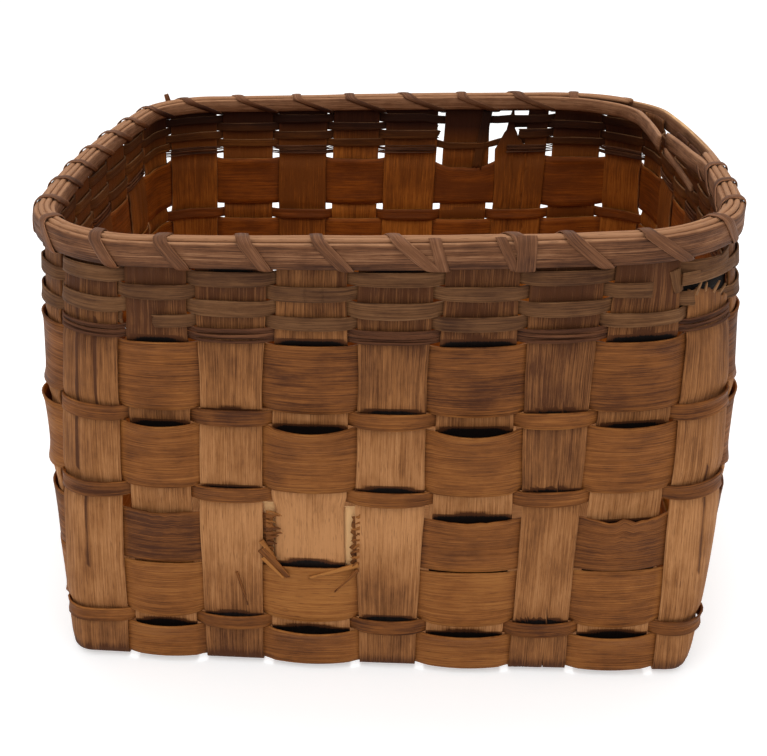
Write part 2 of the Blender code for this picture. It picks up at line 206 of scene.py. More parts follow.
def stakeAt(place, height):
    # Which stake a place belongs to, and how far across it the place lies, from -1 to 1.
    number = np.round(place).astype(int)
    number = np.where(place < gapPlace(number - 1, height), number - 1, number)
    number = np.where(place > gapPlace(number, height), number + 1, number)
    left, right = gapPlace(number - 1, height), gapPlace(number, height)
    return number, (place - (left + right) / 2) / ((right - left) / 2)


# How far along and across the grain map the part of one strip lies from that of the next, in metres.
grainSteps = {"stake": (1.37, 0.413), "weaver": (2.31, 0.57), "hoop": (1.0, 0.31), "bit": (1.0, 0.3)}


def grainAt(kind, seed, lengthwise, across):
    # Where a strip's points lie in the grain map, from their place on the strip in mm.
    return lengthwise * mm + seed * grainSteps[kind][0], across * mm + seed * grainSteps[kind][1]


def addObject(name, data):
    thing = bpy.data.objects.new(name, data)
    bpy.context.scene.collection.objects.link(thing)
    return thing


def stripMesh(name, lengthCount, widthCount, place, tone=None, thickness=1.0, loop=False):
    # A create_grid sheet; place(u, v) gives its points, u along and v across, both 0 to 1.
    sheet = bmesh.new()
    bmesh.ops.create_grid(sheet, x_segments=lengthCount, y_segments=widthCount, size=1.0)
    data = bpy.data.meshes.new(name)
    sheet.to_mesh(data)
    sheet.free()
    count = len(data.vertices)
    flat = np.zeros(count * 3)
    data.vertices.foreach_get("co", flat)
    flat = flat.reshape(-1, 3)
    u, v = (flat[:, 0] + 1) / 2, (flat[:, 1] + 1) / 2
    points, lengthwise, across = place(u, v)
    data.vertices.foreach_set("co", points.astype(np.float32).ravel())
    setGrain(data, lengthwise, across)
    setValues(data, "edge", np.abs(v * 2 - 1))
    setValues(data, "tone", np.zeros(count) if tone is None else tone(u, v))
    setOutward(data, 0.0 if loop else 1.0)
    if loop:
        closeTube(data)
    thing = addObject(name, data)
    if not loop:
        solid = thing.modifiers.new("thickness", "SOLIDIFY")
        solid.thickness = thickness * mm
        solid.offset = 0.0
    for face in data.polygons:
        face.use_smooth = True
    return thing


def setOutward(data, amount):
    # The direction out of the basket at each point, for the shader to tell its inside from its outside.
    basketMiddle = (0.0, 0.0, 0.12)
    data.update()
    count = len(data.vertices)
    spots, normals = np.zeros(count * 3), np.zeros(count * 3)
    data.vertices.foreach_get("co", spots)
    data.vertices.foreach_get("normal", normals)
    spots, normals = spots.reshape(-1, 3) - basketMiddle, normals.reshape(-1, 3)
    normals *= np.sign((spots * normals).sum()) * amount
    layer = data.attributes.new("outward", "FLOAT_VECTOR", "POINT")
    layer.data.foreach_set("vector", normals.astype(np.float32).ravel())


def setGrain(data, lengthwise, across):
    layer = data.uv_layers.new(name="grain")
    corners = np.zeros(len(data.loops), int)
    data.loops.foreach_get("vertex_index", corners)
    spots = np.stack([lengthwise[corners], across[corners]], 1)
    layer.data.foreach_set("uv", spots.astype(np.float32).ravel())


def setValues(data, name, values):
    layer = data.attributes.new(name, "FLOAT", "POINT")
    layer.data.foreach_set("value", np.asarray(values, np.float32))


def closeTube(data):
    work = bmesh.new()
    work.from_mesh(data)
    bmesh.ops.remove_doubles(work, verts=work.verts, dist=1e-6)
    ends = [edge for edge in work.edges if edge.is_boundary]
    bmesh.ops.holes_fill(work, edges=ends, sides=0)
    bmesh.ops.recalc_face_normals(work, faces=work.faces)
    work.to_mesh(data)
    work.free()


def joinPieces(main, others):
    # Adds the meshes of others to main; their modifiers are applied first.
    bpy.context.view_layer.update()
    graph = bpy.context.evaluated_depsgraph_get()
    work = bmesh.new()
    for thing in [main] + others:
        evaluated = thing.evaluated_get(graph)
        work.from_mesh(evaluated.to_mesh())
        evaluated.to_mesh_clear()
    main.modifiers.clear()
    work.to_mesh(main.data)
    work.free()
    for thing in others:
        bpy.data.objects.remove(thing, do_unlink=True)
    return main


def nodeOf(name):
    # The frame's node for a piece: wideWeaver1 dresses wide_weaver_1.
    return "".join(letter if letter.islower() else "_" + letter.lower() for letter in name)


def finishPiece(piece, node, material):
    piece.data.materials.clear()
    piece.data.materials.append(material)
    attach(piece, "root")
    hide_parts(node)


def evenTone(amount):
    return lambda u, v: np.full(u.shape, amount)


# Lengths in mm. gapShare is half a gap between stakes, in places; push is how far the weave bends them.
stakes = {
    "thickness": 1.2, "halfWidth": 17, "gapShare": 0.062, "gapWander": 0.012,
    "top": 242.0, "bend": 5.0, "cup": 0.7, "push": 1.0,
    "longBase": 325.0, "shortBase": 345.0, "baseLevel": 2.0, "baseWave": 0.95,
    "jag": 1.6,                              # unevenness of a broken end
    "narrowed": (-1, 58.0, 110.0, 0.04),     # place, lowest and highest height, places lost on each side
}
# How pale the stakes are low in the wall, and in the base; what they lose higher up and under the rim, partly
# age and partly painted shade, and at the bends, painted shade, each with the height where that starts and
# how far it takes; and how they vary.
stakeTone = {
    "low": 0.30, "base": 0.05, "losses": ((0.55, 90, 120), (0.15, 205, 25)), "bend": (0.45, 11, 6),
    "between": 0.16, "along": 0.07,
}
# Stake ends that have broken off, by place: how far across and the height in mm that is left there.
brokenTops = {
    4: ((-1, 216.5), (-0.4, 215), (0.1, 212), (0.5, 208), (1, 206)), 11: ((-1, 226), (1, 233)),
    15: ((-0.24, 242), (-0.2, 208), (-0.04, 208.5), (0.0, 213), (0.14, 213), (0.18, 219), (0.28, 219),
         (0.32, 236), (0.48, 236), (0.52, 221), (0.95, 207), (1, 204)),
}
# Splits in the stakes: place, how far across, and the heights between which they run. They are painted as
# dark lines, the painted shade of the cracks.
splits = (
    (-4, -0.35, 120.0, 236.0), (-4, 0.30, 150.0, 205.0), (-4, -0.05, 60.0, 110.0), (4, 0.1, 60.0, 120.0),
    (2, 0.45, 205.0, 240.0), (15, 0.2, 180.0, 238.0), (14, -0.3, 210.0, 230.0), (1, -0.4, 205.0, 240.0),
)
splitLook = {"halfWidth": 0.045, "tone": -0.65}
# Painted shade: the stakes are painted black in the hollows behind the upper edges that stand off them, by
# place:
# lowest and highest height.
hollows = {
    -3: ((142.0, 150.8), (18.0, 28.2), (188.0, 196.8)),
    -2: ((155.0, 158.8), (110.0, 114.6), (30.0, 34.8), (228.0, 233.0)),
    -1: ((138.0, 151.2), (18.0, 27.8), (188.0, 197.4), (56.0, 69.5)),
    0: ((155.0, 160.2), (110.0, 116.0), (30.0, 36.0), (226.0, 233.2)),
    1: ((138.0, 150.8), (18.0, 27.4), (188.0, 197.6), (60.0, 69.2), (88.0, 100.4)),
    2: ((155.0, 159.4), (110.0, 115.2), (30.0, 35.6)),
    3: ((142.0, 150.6), (18.0, 28.0), (188.0, 197.6), (60.0, 69.0), (86.0, 95.0)),
    14: ((152.0, 156.5),), 16: ((152.0, 156.5),),
}
# How the painted shade of a hollow dips at the stake's sides, how soft its edge is, and its tone.
hollowLook = {"dip": 2.4, "blur": 1.6, "tone": -2.2}
# Tone of single front stakes by place: heights in mm and what is added there.
stakeTones = {
    -4: ((10, -0.3), (50, -0.15), (100, -0.08), (177, 0.0)),
    -2: ((10, -0.3), (60, 0.05), (100, 0.2), (177, 0.22), (215, 0.1)),
    -1: ((10, -0.2), (60, 0.0), (80, 0.12), (97, 0.12), (112, 0.0)),
    0: ((10, -0.42), (50, -0.4), (85, 0.02), (140, -0.05), (177, -0.1)),
    2: ((10, -0.4), (50, -0.2), (85, -0.3), (177, -0.14)),
    4: ((10, -0.35), (50, -0.15), (85, -0.1), (177, -0.12), (216, 0.08)),
}
# Middle height and spread of the rows that press the even stakes inwards, and how hard they press.
narrowHeights = ((30.5, 5.0), (110.0, 7.0), (155.0, 5.0), (199.0, 5.0))
pressing = {"amount": 1.7, "fadeTop": (215, 25), "fadeFoot": 12}


def stakeOffset(number, height):
    # Even places are pushed out by the wide weavers behind them and in by the narrow ones.
    out = np.ones_like(np.asarray(height, float))
    for middle, spread in narrowHeights:
        out -= pressing["amount"] * np.exp(-((height - middle) / spread) ** 2)
    top, over = pressing["fadeTop"]
    out *= ramp(top - height, over) * ramp(height, pressing["fadeFoot"])
    return np.where(np.mod(number, 2) == 0, 1, -1) * out * stakes["push"]


def legPoints(number, height, across, swing):
    # Points of a stake where it stands in the wall; swing is 0 at the foot, where it isn't cupped.
    left, right = (gapPlace(np.full(height.shape, gap), height) for gap in (number - 1, number))
    gap = stakes["gapShare"] + stakes["gapWander"] * wobble(number * 7 + 3, height, 30.0)
    narrowed, low, high, loss = stakes["narrowed"]
    if number == narrowed:
        gap = gap + loss * ramp(height - low, 8) * ramp(high - height, 8)
    place = (left + right) / 2 + ((right - left) / 2 - gap) * across
    return offWall(place, height, stakeOffset(number, height) + stakes["cup"] * (1 - across ** 2) * swing)


def stakePath(ends, isLong, number, seed):
    # ends are the two ring places that the stake stands at; across runs the same way at both.
    bend = stakes["bend"]
    legRun, bendRun = stakes["top"] - bend, bend * math.pi / 2
    baseRun = stakes["longBase" if isLong else "shortBase"] - 2 * bend
    total = 2 * legRun + 2 * bendRun + baseRun

    def cutAt(end, across, jag):
        if end not in brokenTops:
            return np.zeros_like(across)
        spots, heights = zip(*brokenTops[end])
        return np.maximum(stakes["top"] - np.interp(across, spots, heights) + jag, 0.0)

    def runAt(u, v):
        across, jag = v * 2 - 1, stakes["jag"] * wobble(seed + 70, v * 40, 2.0)
        cutFirst, cutLast = cutAt(ends[0], across, jag), cutAt(ends[1], -across, jag)
        run = cutFirst + u * (total - cutFirst - cutLast)
        return np.where(run > total / 2, total - run, run)

    def waveAt(base):
        # The plaiting of the base: up over one stake and down under the next.
        if isLong:
            crossing = (base[:, 1] / mm - wall["shift"][1]) / wall["sidePitch"] + 3.5
            return (-1) ** number * np.cos(math.pi * crossing)
        crossing = (base[:, 0] / mm - wall["shift"][0]) / wall["frontPitch"][0] + 4
        return -(-1) ** number * np.cos(math.pi * crossing)

    def place(u, v):
        across, run = v * 2 - 1, runAt(u, v)
        firstEnd = u <= 0.5
        points = np.zeros((len(u), 3))
        for end, chosen in ((0, firstEnd), (1, ~firstEnd)):
            side = (1 if end == 0 else -1) * across[chosen]
            atFoot = np.full(chosen.sum(), bend)
            leg = legPoints(ends[end], np.maximum(stakes["top"] - run[chosen], bend), side, 1.0)
            foot = legPoints(ends[end], atFoot, side, 0.0)
            inward = legPoints(ends[1 - end], atFoot, -side, 0.0) - foot
            inward[:, 2] = 0
            span = np.linalg.norm(inward, axis=1, keepdims=True)
            inward /= span
            angle = np.clip((run[chosen] - legRun) / bend, 0, math.pi / 2)
            bent = foot + inward * (bend * mm * (1 - np.cos(angle)))[:, None]
            bent[:, 2] = (bend + (stakes["baseLevel"] - bend) * np.sin(angle)) * mm
            beyond = np.clip(run[chosen] - legRun - bendRun, 0, None)
            scale = (span[:, 0] / mm / 2 - bend) / (baseRun / 2)
            base = bent + inward * (beyond * scale * mm)[:, None]
            base[:, 2] += waveAt(base) * stakes["baseWave"] * mm * ramp(beyond, 8)
            points[chosen] = np.where((run[chosen] > legRun)[:, None], base, leg)
        return points, *grainAt("stake", seed, u * total, across * stakes["halfWidth"])

    def tone(u, v):
        across, run = v * 2 - 1, runAt(u, v)
        height = np.clip(stakes["top"] - run, 0, stakes["top"])
        lift = stakeTone["low"]
        # These losses are partly age and partly painted shade; the one at the bend below is painted shade.
        for loss, begin, over in stakeTone["losses"]:
            lift = lift - loss * ramp(height - begin, over)
        loss, begin, over = stakeTone["bend"]
        lift = lift + np.where(height <= 0, stakeTone["base"], -loss * ramp(begin - height, over))
        lift = lift + stakeTone["between"] * np.random.default_rng(seed).uniform(-1, 1)
        lift = lift + stakeTone["along"] * wobble(seed, run, 60.0)
        for end, side in ((0, across), (1, -across)):
            near = (u <= 0.5) == (end == 0)
            if ends[end] in stakeTones:
                lift = lift + near * np.interp(height, *zip(*stakeTones[ends[end]]))
            # Splits are painted dark: painted shade in the cracks.
            for ring, spot, low, high in splits:
                if ring == ends[end]:
                    within = near & (height > low) & (height < high)
                    inSplit = within & (np.abs(side - spot) < splitLook["halfWidth"])
                    lift = np.where(inSplit, lift + splitLook["tone"], lift)
            # Painted shade in the hollows behind the loose upper edges.
            for low, high in hollows.get(ends[end], ()):
                inside = np.minimum(height - low, high - hollowLook["dip"] * across ** 2 - height)
                dark = near * np.clip(inside / hollowLook["blur"] + 0.5, 0, 1)
                lift = lift * (1 - dark) + hollowLook["tone"] * dark
        return lift

    return place, tone


def makeStakes(material):
    # Nine long ones that stand in the front and the back, eight short ones in the two ends.
    kinds = (("longStake", 9, True, 1), ("shortStake", 8, False, 21))
    for name, count, isLong, seed in kinds:
        for number in range(count):
            ends = (number - 4, 21 - number) if isLong else (29 - number, 5 + number)
            place, tone = stakePath(ends, isLong, number, seed + number)
            piece = stripMesh(f"{name}{number + 1}", 330, 24, place, tone, stakes["thickness"])
            finishPiece(piece, nodeOf(piece.name), material)
        print(name + "s:", count)


# low and high are a row's edges at the gaps; the passes that lie outside swell by swellLow and swellHigh,
# stand out by belly in their middle, and their upper edge flares by flare. All in mm. odd says that it
# passes outside the odd places. The spans are the places that its strips cover; lift is how much higher
# its lower and upper edge lie along the back, and across counts its faces from edge to edge.
wideRow = {"odd": True, "belly": 2.6, "across": 9, "lift": (0, 0), "slot": "weaver_wood"}
narrowRow = dict(wideRow, odd=False, swellLow=0.2, swellHigh=0.8, belly=3.0, flare=0.3, across=4)
trimRow = {"swellLow": 0.2, "swellHigh": 0.3, "belly": 2.4, "flare": 0.2, "across": 6, "slot": "trim_wood"}
weavers = [
    dict(wideRow, name="footWeaver", low=4.6, high=25.0, swellLow=0.6, swellHigh=2.2, belly=2.2, flare=4.2,
         tone=0.06, spans=((18.55, 53.45),)),
    dict(narrowRow, name="narrowWeaver1", low=26.0, high=33.6, swellLow=0.0, swellHigh=0.6, belly=2.8,
         tone=-0.12, spans=((17.55, 52.45),)),
    dict(wideRow, name="wideWeaver1", low=33.6, high=65.2, swellLow=1.2, swellHigh=1.0, flare=0.6,
         tone=0.12, spans=((22.55, 57.45),)),
    dict(wideRow, name="wideWeaver2", low=66.8, high=97.5, swellLow=0.3, swellHigh=1.4, flare=2.4,
         tone=-0.10, spans=((33.47, 66.43),), across=16),
    dict(narrowRow, name="narrowWeaver2", low=105.8, high=113.4, tone=-0.10, spans=((21.55, 56.45),)),
    dict(wideRow, name="wideWeaver3", low=113.4, high=149.4, swellLow=0.4, swellHigh=0.8, belly=2.8,
         flare=4.6, tone=0.06, spans=((14.55, 49.45),)),
    dict(narrowRow, name="narrowWeaver3", low=150.4, high=158.0, tone=-0.14, spans=((25.55, 60.45),),
         lift=(-1, -1)),
    dict(wideRow, name="wideWeaver4", low=158.4, high=194.2, swellLow=0.5, swellHigh=0.6, flare=1.8,
         tone=-0.06, spans=((24.55, 59.45),), lift=(3, 4)),
    dict(name="fibreWeaver", low=195.6, high=202.6, odd=False, belly=2.2, flare=0.0, tone=-0.1,
         spans=((16.56, 49.25),), lift=(7.5, 5.5), slot="fibre_wood"),
    dict(trimRow, name="trimWeaver1", low=202.6, high=209.0, odd=True, tone=-0.04, spans=((30.92, 64.5),),
         lift=(5.5, 5)),
    dict(trimRow, name="trimWeaver2", low=209.4, high=216.4, odd=False, swellLow=0.6, swellHigh=0.4,
         belly=2.6, tone=0.05, spans=((16.50, 37.62), (4.75, 15.06)), lift=(4.5, 4)),
    dict(trimRow, name="trimWeaver3", low=217.4, high=224.0, odd=True, swellHigh=0.5, belly=2.6,
         tone=0.0, spans=((16.53, 33.05), (32.81, 37.02), (4.6, 15.14)), lift=(3.5, 3)),
    dict(trimRow, name="trimWeaver4", low=224.6, high=231.4, odd=False, tone=-0.08, spans=((23.55, 58.45),),
         lift=(2.5, 2)),
]
# The strands of the fibre row, from the lowest: share of the row's belly, and what is added to its tone.
strands = ((1.1, 0.05), (0.7, -0.1), (1.3, 0.15), (0.8, -0.05), (1.2, 0.1))
# Places where the upper edge of a row is torn, with the depth in mm.
tornEdges = {
    "wideWeaver2": ((3, 6.5), (-3, 3.0), (1, 1.5)), "wideWeaver4": ((16, 2.0),), "trimWeaver4": ((4, 3.0),),
}
# Tone of single passes by place.
weaverTones = {
    "wideWeaver1": {-1: 0.24}, "wideWeaver2": {-3: -0.18, 1: 0.05, 3: -0.1}, "wideWeaver3": {1: -0.1},
    "wideWeaver4": {-1: -0.1, 1: -0.14}, "trimWeaver1": {-1: -0.12, 1: -0.05}, "trimWeaver4": {4: 0.1},
}
# How much of the flare the upper edges have on single stakes of the front.
looseTops = {
    "wideWeaver2": {1: 1.5}, "wideWeaver3": {-1: 1.65, 1: 1.6, -3: 1.0, 3: 0.8},
    "footWeaver": {-3: 1.1, -1: 1.2, 1: 1.0, 3: 1.2},
}
# Where a row of the back has slipped: place, and what is added to its lower and upper edge in mm.
slippedRows = {
    "wideWeaver4": ((16, 1.5, -6.5), (14, -3.0, 0.0)), "trimWeaver1": ((16, -2.5, -4.0),),
    "trimWeaver4": ((16, -3.3, -4.0), (14.8, -2.0, -2.0)),
}
weave = {
    "thickness": 1.0, "contact": 1.35, "gapEase": 0.17, "insideBelly": 0.45, "stations": 12,
    "ragged": 0.05,                          # unevenness of a strip's ends, in places
    "closedSpan": 34.2, "lapStart": 33.9, "lapLift": 0.4,      # a strip that laps over its own start
    "frontReach": 4, "sideLooseness": 0.45,  # the passes past the front lie closer
    "backReach": 6.6,                        # places on each side of the back's middle that lift raises
}


def weaverShape(row, span, seed):
    source = np.random.default_rng(seed)
    bellies = source.uniform(0.75, 1.2, ringPlaces)
    flares = source.uniform(0.4, 1.1, ringPlaces)
    for place, amount in looseTops.get(row["name"], {}).items():
        flares[place % ringPlaces] = amount
    sides = np.array([1.0 if apart(place, 0) <= weave["frontReach"] else weave["sideLooseness"]
                      for place in range(ringPlaces)])
    tones = source.uniform(-0.11, 0.11, ringPlaces)
    for place, amount in weaverTones.get(row["name"], {}).items():
        tones[place % ringPlaces] += amount
    height = row["high"] - row["low"]
    start, end = span
    closed = end - start > weave["closedSpan"]

    def edgesAt(run, outside, dome):
        back = ramp(weave["backReach"] - np.abs(np.mod(run, ringPlaces) - halfRing), 1.5)
        low = row["low"] - np.where(outside, row["swellLow"] * dome, 0) + 0.5 * wobble(seed, run, 1.3)
        high = row["high"] + np.where(outside, row["swellHigh"] * dome, 0) + 0.5 * wobble(seed + 50, run, 1.1)
        low, high = low + back * row["lift"][0], high + back * row["lift"][1]
        for spot, addLow, addHigh in slippedRows.get(row["name"], ()):
            near = np.clip(1.6 - apart(run, spot) / 0.5, 0, 1)
            low, high = low + addLow * near, high + addHigh * near
        for spot, depth in tornEdges.get(row["name"], ()):
            near = np.clip(1.35 - apart(run, spot) / 0.42, 0, 1)
            rough = 0.5 + 0.32 * wobble(seed + 90 + spot, run, 0.11)
            rough = rough + 0.22 * wobble(seed + 95 + spot, run, 0.027)
            high = high - depth * near * np.clip(rough, 0, 1)
        return low, high

    def place(u, v):
        ragged = 0.0 if closed else weave["ragged"] * wobble(seed + 31, v * 60, 1.6)
        run = start + ragged + (end - start - ragged * 0.6) * u
        number, across = stakeAt(run, np.full(run.shape, (row["low"] + row["high"]) / 2))
        outside = (np.mod(number, 2) == 1) == row["odd"]
        sign = np.where(outside, 1.0, -1.0)
        ease = ramp(1 - np.abs(across), weave["gapEase"])
        ease = ease * ease * (3 - 2 * ease)
        dome = np.clip(1 - across ** 2, 0, 1)
        index = np.mod(number, ringPlaces)
        low, high = edgesAt(run, outside, dome)
        level = low + (high - low) * v
        belly = row["belly"] * bellies[index] * (0.4 + 0.6 * sides[index]) * dome
        belly = belly * np.where(outside, 1.0, weave["insideBelly"])
        flare = row["flare"] * flares[index] * sides[index] * dome * np.where(outside, 1, 0.0) * v ** 2.5
        offset = stakeOffset(number, level) * ease + sign * ease * weave["contact"] + sign * belly + flare
        if closed:
            lapped = ramp(u * (end - start) - weave["lapStart"], 0.25)
            offset = offset + lapped * (weave["thickness"] + weave["lapLift"])
        return offWall(run, level, offset), *grainAt("weaver", seed, run * wall["strip"], (v - 0.5) * height)

    def tone(u, v):
        run = start + (end - start) * u
        number, _ = stakeAt(run, np.full(run.shape, row["low"]))
        return row["tone"] + tones[np.mod(number, ringPlaces)]

    return place, tone, max(24, round((end - start) * weave["stations"]))


def makeSplinter(name, seed, spot, height, length, slope, width, curl, tone):
    # A torn fibre: it starts at a place and height, runs along the wall by its length and slope, and tapers.
    lift, thickness = 1.6, 0.5

    def place(u, v):
        run = spot + length * u / wall["strip"]
        level = height + length * slope * u + (v - 0.5) * width * (1 - u) ** 0.7
        level = level + 0.6 * wobble(seed, u * 9, 2.0)
        points = offWall(run, level, lift + curl * u ** 2)
        return points, *grainAt("bit", seed, u * abs(length), v * width)

    return stripMesh(name, 10, 2, place, evenTone(tone), thickness)


def makeFragment(name, seed, start, end, width, offsets, tone, tip=1.0):
    # A loose bit of splint between two spots (place, height) of the wall; tip is the share of its width
    # that is left at its end.
    pitch = 38.0

    def place(u, v):
        alongSize, rise = (end[0] - start[0]) * pitch, end[1] - start[1]
        size = math.hypot(alongSize, rise)
        across = (v - 0.5) * width * (1 - (1 - tip) * u ** 1.5)
        far = u + 0.05 * wobble(seed, v * 30, 4.0) * (u > 0.9)
        spot = start[0] + ((end[0] - start[0]) * far - rise / size * across / pitch)
        level = start[1] + rise * far + alongSize / size * across
        points = offWall(spot, level, offsets[0] + (offsets[1] - offsets[0]) * u)
        return points, *grainAt("bit", seed, u * size, across)

    return stripMesh(name, 16, 4, place, evenTone(tone), 1.0)


def makeFragments(name, seed, table):
    return [makeFragment(f"{name}{number}", seed + number, *values) for number, values in enumerate(table)]


# The frayed ends on each side of the tear: the place where they start, their lowest height and its step,
# the way that they point, and the ranges of their length, slope, width, curl and tone.
frayedEnds = {
    "tornLeft": {"count": 11, "spot": -1.66, "low": 72, "step": 2.8, "way": 1, "seed": 500,
                 "ranges": ((3, 9), (-0.4, 0.4), (1.2, 3.2), (-0.5, 2.0), (-0.2, 0.3))},
    "tornRight": {"count": 9, "spot": -0.43, "low": 70, "step": 3.6, "way": -1, "seed": 530,
                  "ranges": ((2, 5), (-0.5, 0.6), (1.2, 2.6), (-0.5, 1.5), (0.0, 0.4))},
}
# Loose bits: the spots (place, height) of their two ends, width, how far out each end stands, tone and tip.
paleWood = (
    ((-1.60, 103.0), (-1.60, 64.0), 10.0, (-2.2, -2.2), 1.9),
    ((-0.53, 102.0), (-0.53, 64.0), 9.0, (-2.2, -2.2), 1.9),
)
longSplinters = (
    ((-1.72, 77.0), (-1.36, 61.5), 4.4, (2.4, 4.6), -0.05, 0.5),
    ((-1.70, 72.0), (-1.42, 61.0), 2.0, (3.0, 5.0), 0.6, 0.4),
    ((-1.72, 82.0), (-1.52, 71.0), 2.6, (2.2, 3.0), 0.3, 0.2),
    ((-0.44, 68.5), (-1.08, 61.5), 2.6, (1.6, 4.6), 0.75, 0.3),
    ((-0.44, 66.0), (-0.74, 54.0), 1.6, (2.6, 6.0), -0.1, 0.15),
    ((-2.05, 62.0), (-1.9, 42.0), 1.2, (2.6, 4.0), -0.1, 0.1),
)
cornerBits = (
    ((3.42, 223.2), (4.75, 221.2), 6.2, (2.6, 2.2), 0.12, 0.9),
    ((3.33, 228.0), (3.40, 217.0), 5.6, (1.0, 1.2), 0.0, 0.8),
    # The third bit is a black sheet put in as painted shade behind the others.
    ((3.33, 213.0), (4.62, 209.5), 15.0, (-3.0, -3.0), -2.4, 1.0),       # the dark behind the others
    ((3.68, 213.0), (3.74, 219.5), 1.8, (0.6, 2.0), 0.6, 0.2),
    ((3.84, 212.0), (3.86, 218.0), 1.5, (0.6, 1.4), 0.5, 0.2),
    ((3.98, 210.0), (4.1, 216.5), 2.0, (0.6, 2.4), 0.65, 0.2),
    ((4.12, 208.0), (4.3, 213.0), 1.6, (0.6, 2.0), 0.5, 0.2),
)
leaningStrip = (((15.64, 235.0), (15.78, 191.0), 6.4, (-1.5, -1.5), -0.3),)


def wideSplinters():
    # The torn ends of the second wide weaver beside the fourth front stake, with pale wood behind them.
    source = np.random.default_rng(12)
    pieces = makeFragments("paleWood", 521, paleWood)
    for name, side in frayedEnds.items():
        for number in range(side["count"]):
            length, slope, width, curl, tone = (source.uniform(*ends) for ends in side["ranges"])
            height = side["low"] + number * side["step"]
            pieces.append(makeSplinter(f"{name}{number}", side["seed"] + number, side["spot"], height,
                                       side["way"] * length, slope, width, curl, tone))
    return pieces + makeFragments("tornLong", 560, longSplinters)


def makeStrand(row, number):
    # One of the fine strands of the fibre row.
    height = (row["high"] - row["low"]) / len(strands)
    belly, tone = strands[number]
    thin = dict(row, low=row["low"] + height * number + 0.1, high=row["low"] + height * (number + 1) - 0.1,
                belly=row["belly"] * belly, swellLow=0.1, swellHigh=0.1, tone=row["tone"] + tone)
    place, tone, count = weaverShape(thin, row["spans"][0], 160 + number)
    return stripMesh(f"{row['name']}Strand{number}", count, 2, place, tone, 0.9)


def makeStrips(row, seed):
    if row["name"] == "fibreWeaver":
        return [makeStrand(row, number) for number in range(len(strands))]
    strips = []
    for number, span in enumerate(row["spans"]):
        place, tone, count = weaverShape(row, span, seed)
        name = row["name"] + ("" if number == 0 else f"Part{number}")
        strips.append(stripMesh(name, count, row["across"], place, tone, weave["thickness"]))
    if row["name"] == "wideWeaver2":
        strips += wideSplinters()
    if row["name"] == "trimWeaver2":
        strips += makeFragments("tornCorner", 600, cornerBits)
    if row["name"] == "trimWeaver1":
        strips += makeFragments("leaningStrip", 641, leaningStrip)
    return strips


def makeWeavers(materials):
    for number, row in enumerate(weavers):
        strips = makeStrips(row, 100 + number)
        piece = joinPieces(strips[0], strips[1:]) if len(strips) > 1 else strips[0]
        finishPiece(piece, nodeOf(row["name"]), materials[row["slot"]])
    print("weavers:", len(weavers))


# The bound section of the rim, in mm; places are counted along it by pitch.
rim = {
    "low": 233.4, "innerLow": 236.2, "high": 246.6, "inner": -5.7, "outer": 5.9, "pitch": 37.5,
    "hoopThickness": 3.2, "seat": 0.3, "thinnest": 0.22,
    "fillerRadius": 1.55, "fillerHeight": 246.6, "fillerMiddle": 1.5, "fillerSpan": (13.0, 42.0),
}
# How far the broken inner hoop hangs in towards the middle, in mm by place, in the far right corner.
hoopSag = ((9.5, -14.0), (10.95, -10.8), (12.4, -8.0), (13.2, -5.0), (14.0, -2.0), (14.8, 0.0))
patchSag = ((6.9, 0.0), (7.6, 0.0), (8.33, -3.6), (9.85, -7.8))
# The places where a hoop starts and ends, the way that its round side faces, and its scarfs in places.
hoops = {
    "outerHoop": {"span": (24.4, 59.8), "way": 1, "low": rim["low"], "sag": None,
                  "tapers": (1.2, 1.2), "seed": 301},
    "innerHoop": {"span": (9.5, 41.7), "way": -1, "low": rim["innerLow"], "sag": hoopSag,
                  "tapers": (0.12, 1.2), "seed": 302},
    "innerHoopPatch": {"span": (6.9, 9.85), "way": -1, "low": rim["innerLow"], "sag": patchSag,
                       "tapers": (0.8, 0.15), "seed": 303},
}
# The split tail of the inner hoop: place, height and distance from the wall at its ends, and its half sizes.
hoopTail = {"start": (9.5, 236.5, -14.4), "end": (8.2, 224.0, -7.0), "half": (1.3, 2.6), "length": 45}
hoopTones = {"all": -0.10, "topCorner": 0.6, "topFrom": 0.72, "topOver": 0.2, "under": 0.12, "inner": 0.32}
bareStretch = {"middle": 0.575, "half": 0.11, "tone": 0.75}


def squared(value, power):
    # A sine or cosine pushed out towards the corners of a square.
    return np.sign(value) * np.abs(value) ** power


def hoopShape(hoop):
    # A half-round hoop: v runs round its section.
    seed, low = hoop["seed"], hoop["low"]
    start, end = hoop["span"]
    inset = rim["hoopThickness"] / 2 + rim["seat"]
    middle = rim["outer"] - inset if hoop["way"] > 0 else rim["inner"] + inset

    def place(u, v):
        run = start + (end - start) * u
        angle = v * 2 * math.pi
        side, rise = squared(np.cos(angle), 0.45), squared(np.sin(angle), 0.5)
        first, last = hoop["tapers"]
        scarfs = np.minimum(u * (end - start) / first, (1 - u) * (end - start) / last)
        taper = np.clip(scarfs, rim["thinnest"], 1)
        half = (rim["high"] - low) / 2 - rim["seat"]
        offset = middle + side * rim["hoopThickness"] / 2 * taper + hoop["way"] * 0.6 * (1 - rise ** 2)
        offset = offset + 0.25 * wobble(seed, run, 1.7)
        if hoop["sag"]:
            offset = offset + np.interp(run, *zip(*hoop["sag"]))
        height = (rim["high"] + low) / 2 + rise * half + 0.35 * wobble(seed + 9, run, 2.3)
        points, across = offWall(run, height, offset), rise * half + side * rim["hoopThickness"] / 2
        return points, *grainAt("hoop", seed, run * wall["strip"], across)

    return place


def hoopTone(u, v):
    # Paler along the top corners, partly wear and partly a painted highlight, darker towards the bottom.
    side, rise = np.cos(v * 2 * math.pi), np.sin(v * 2 * math.pi)
    top = hoopTones["topCorner"] * ramp(rise - hoopTones["topFrom"], hoopTones["topOver"])
    under, inner = hoopTones["under"] * np.clip(-rise, 0, 1), hoopTones["inner"] * np.clip(-side, 0, 1)
    return top + hoopTones["all"] - under + inner


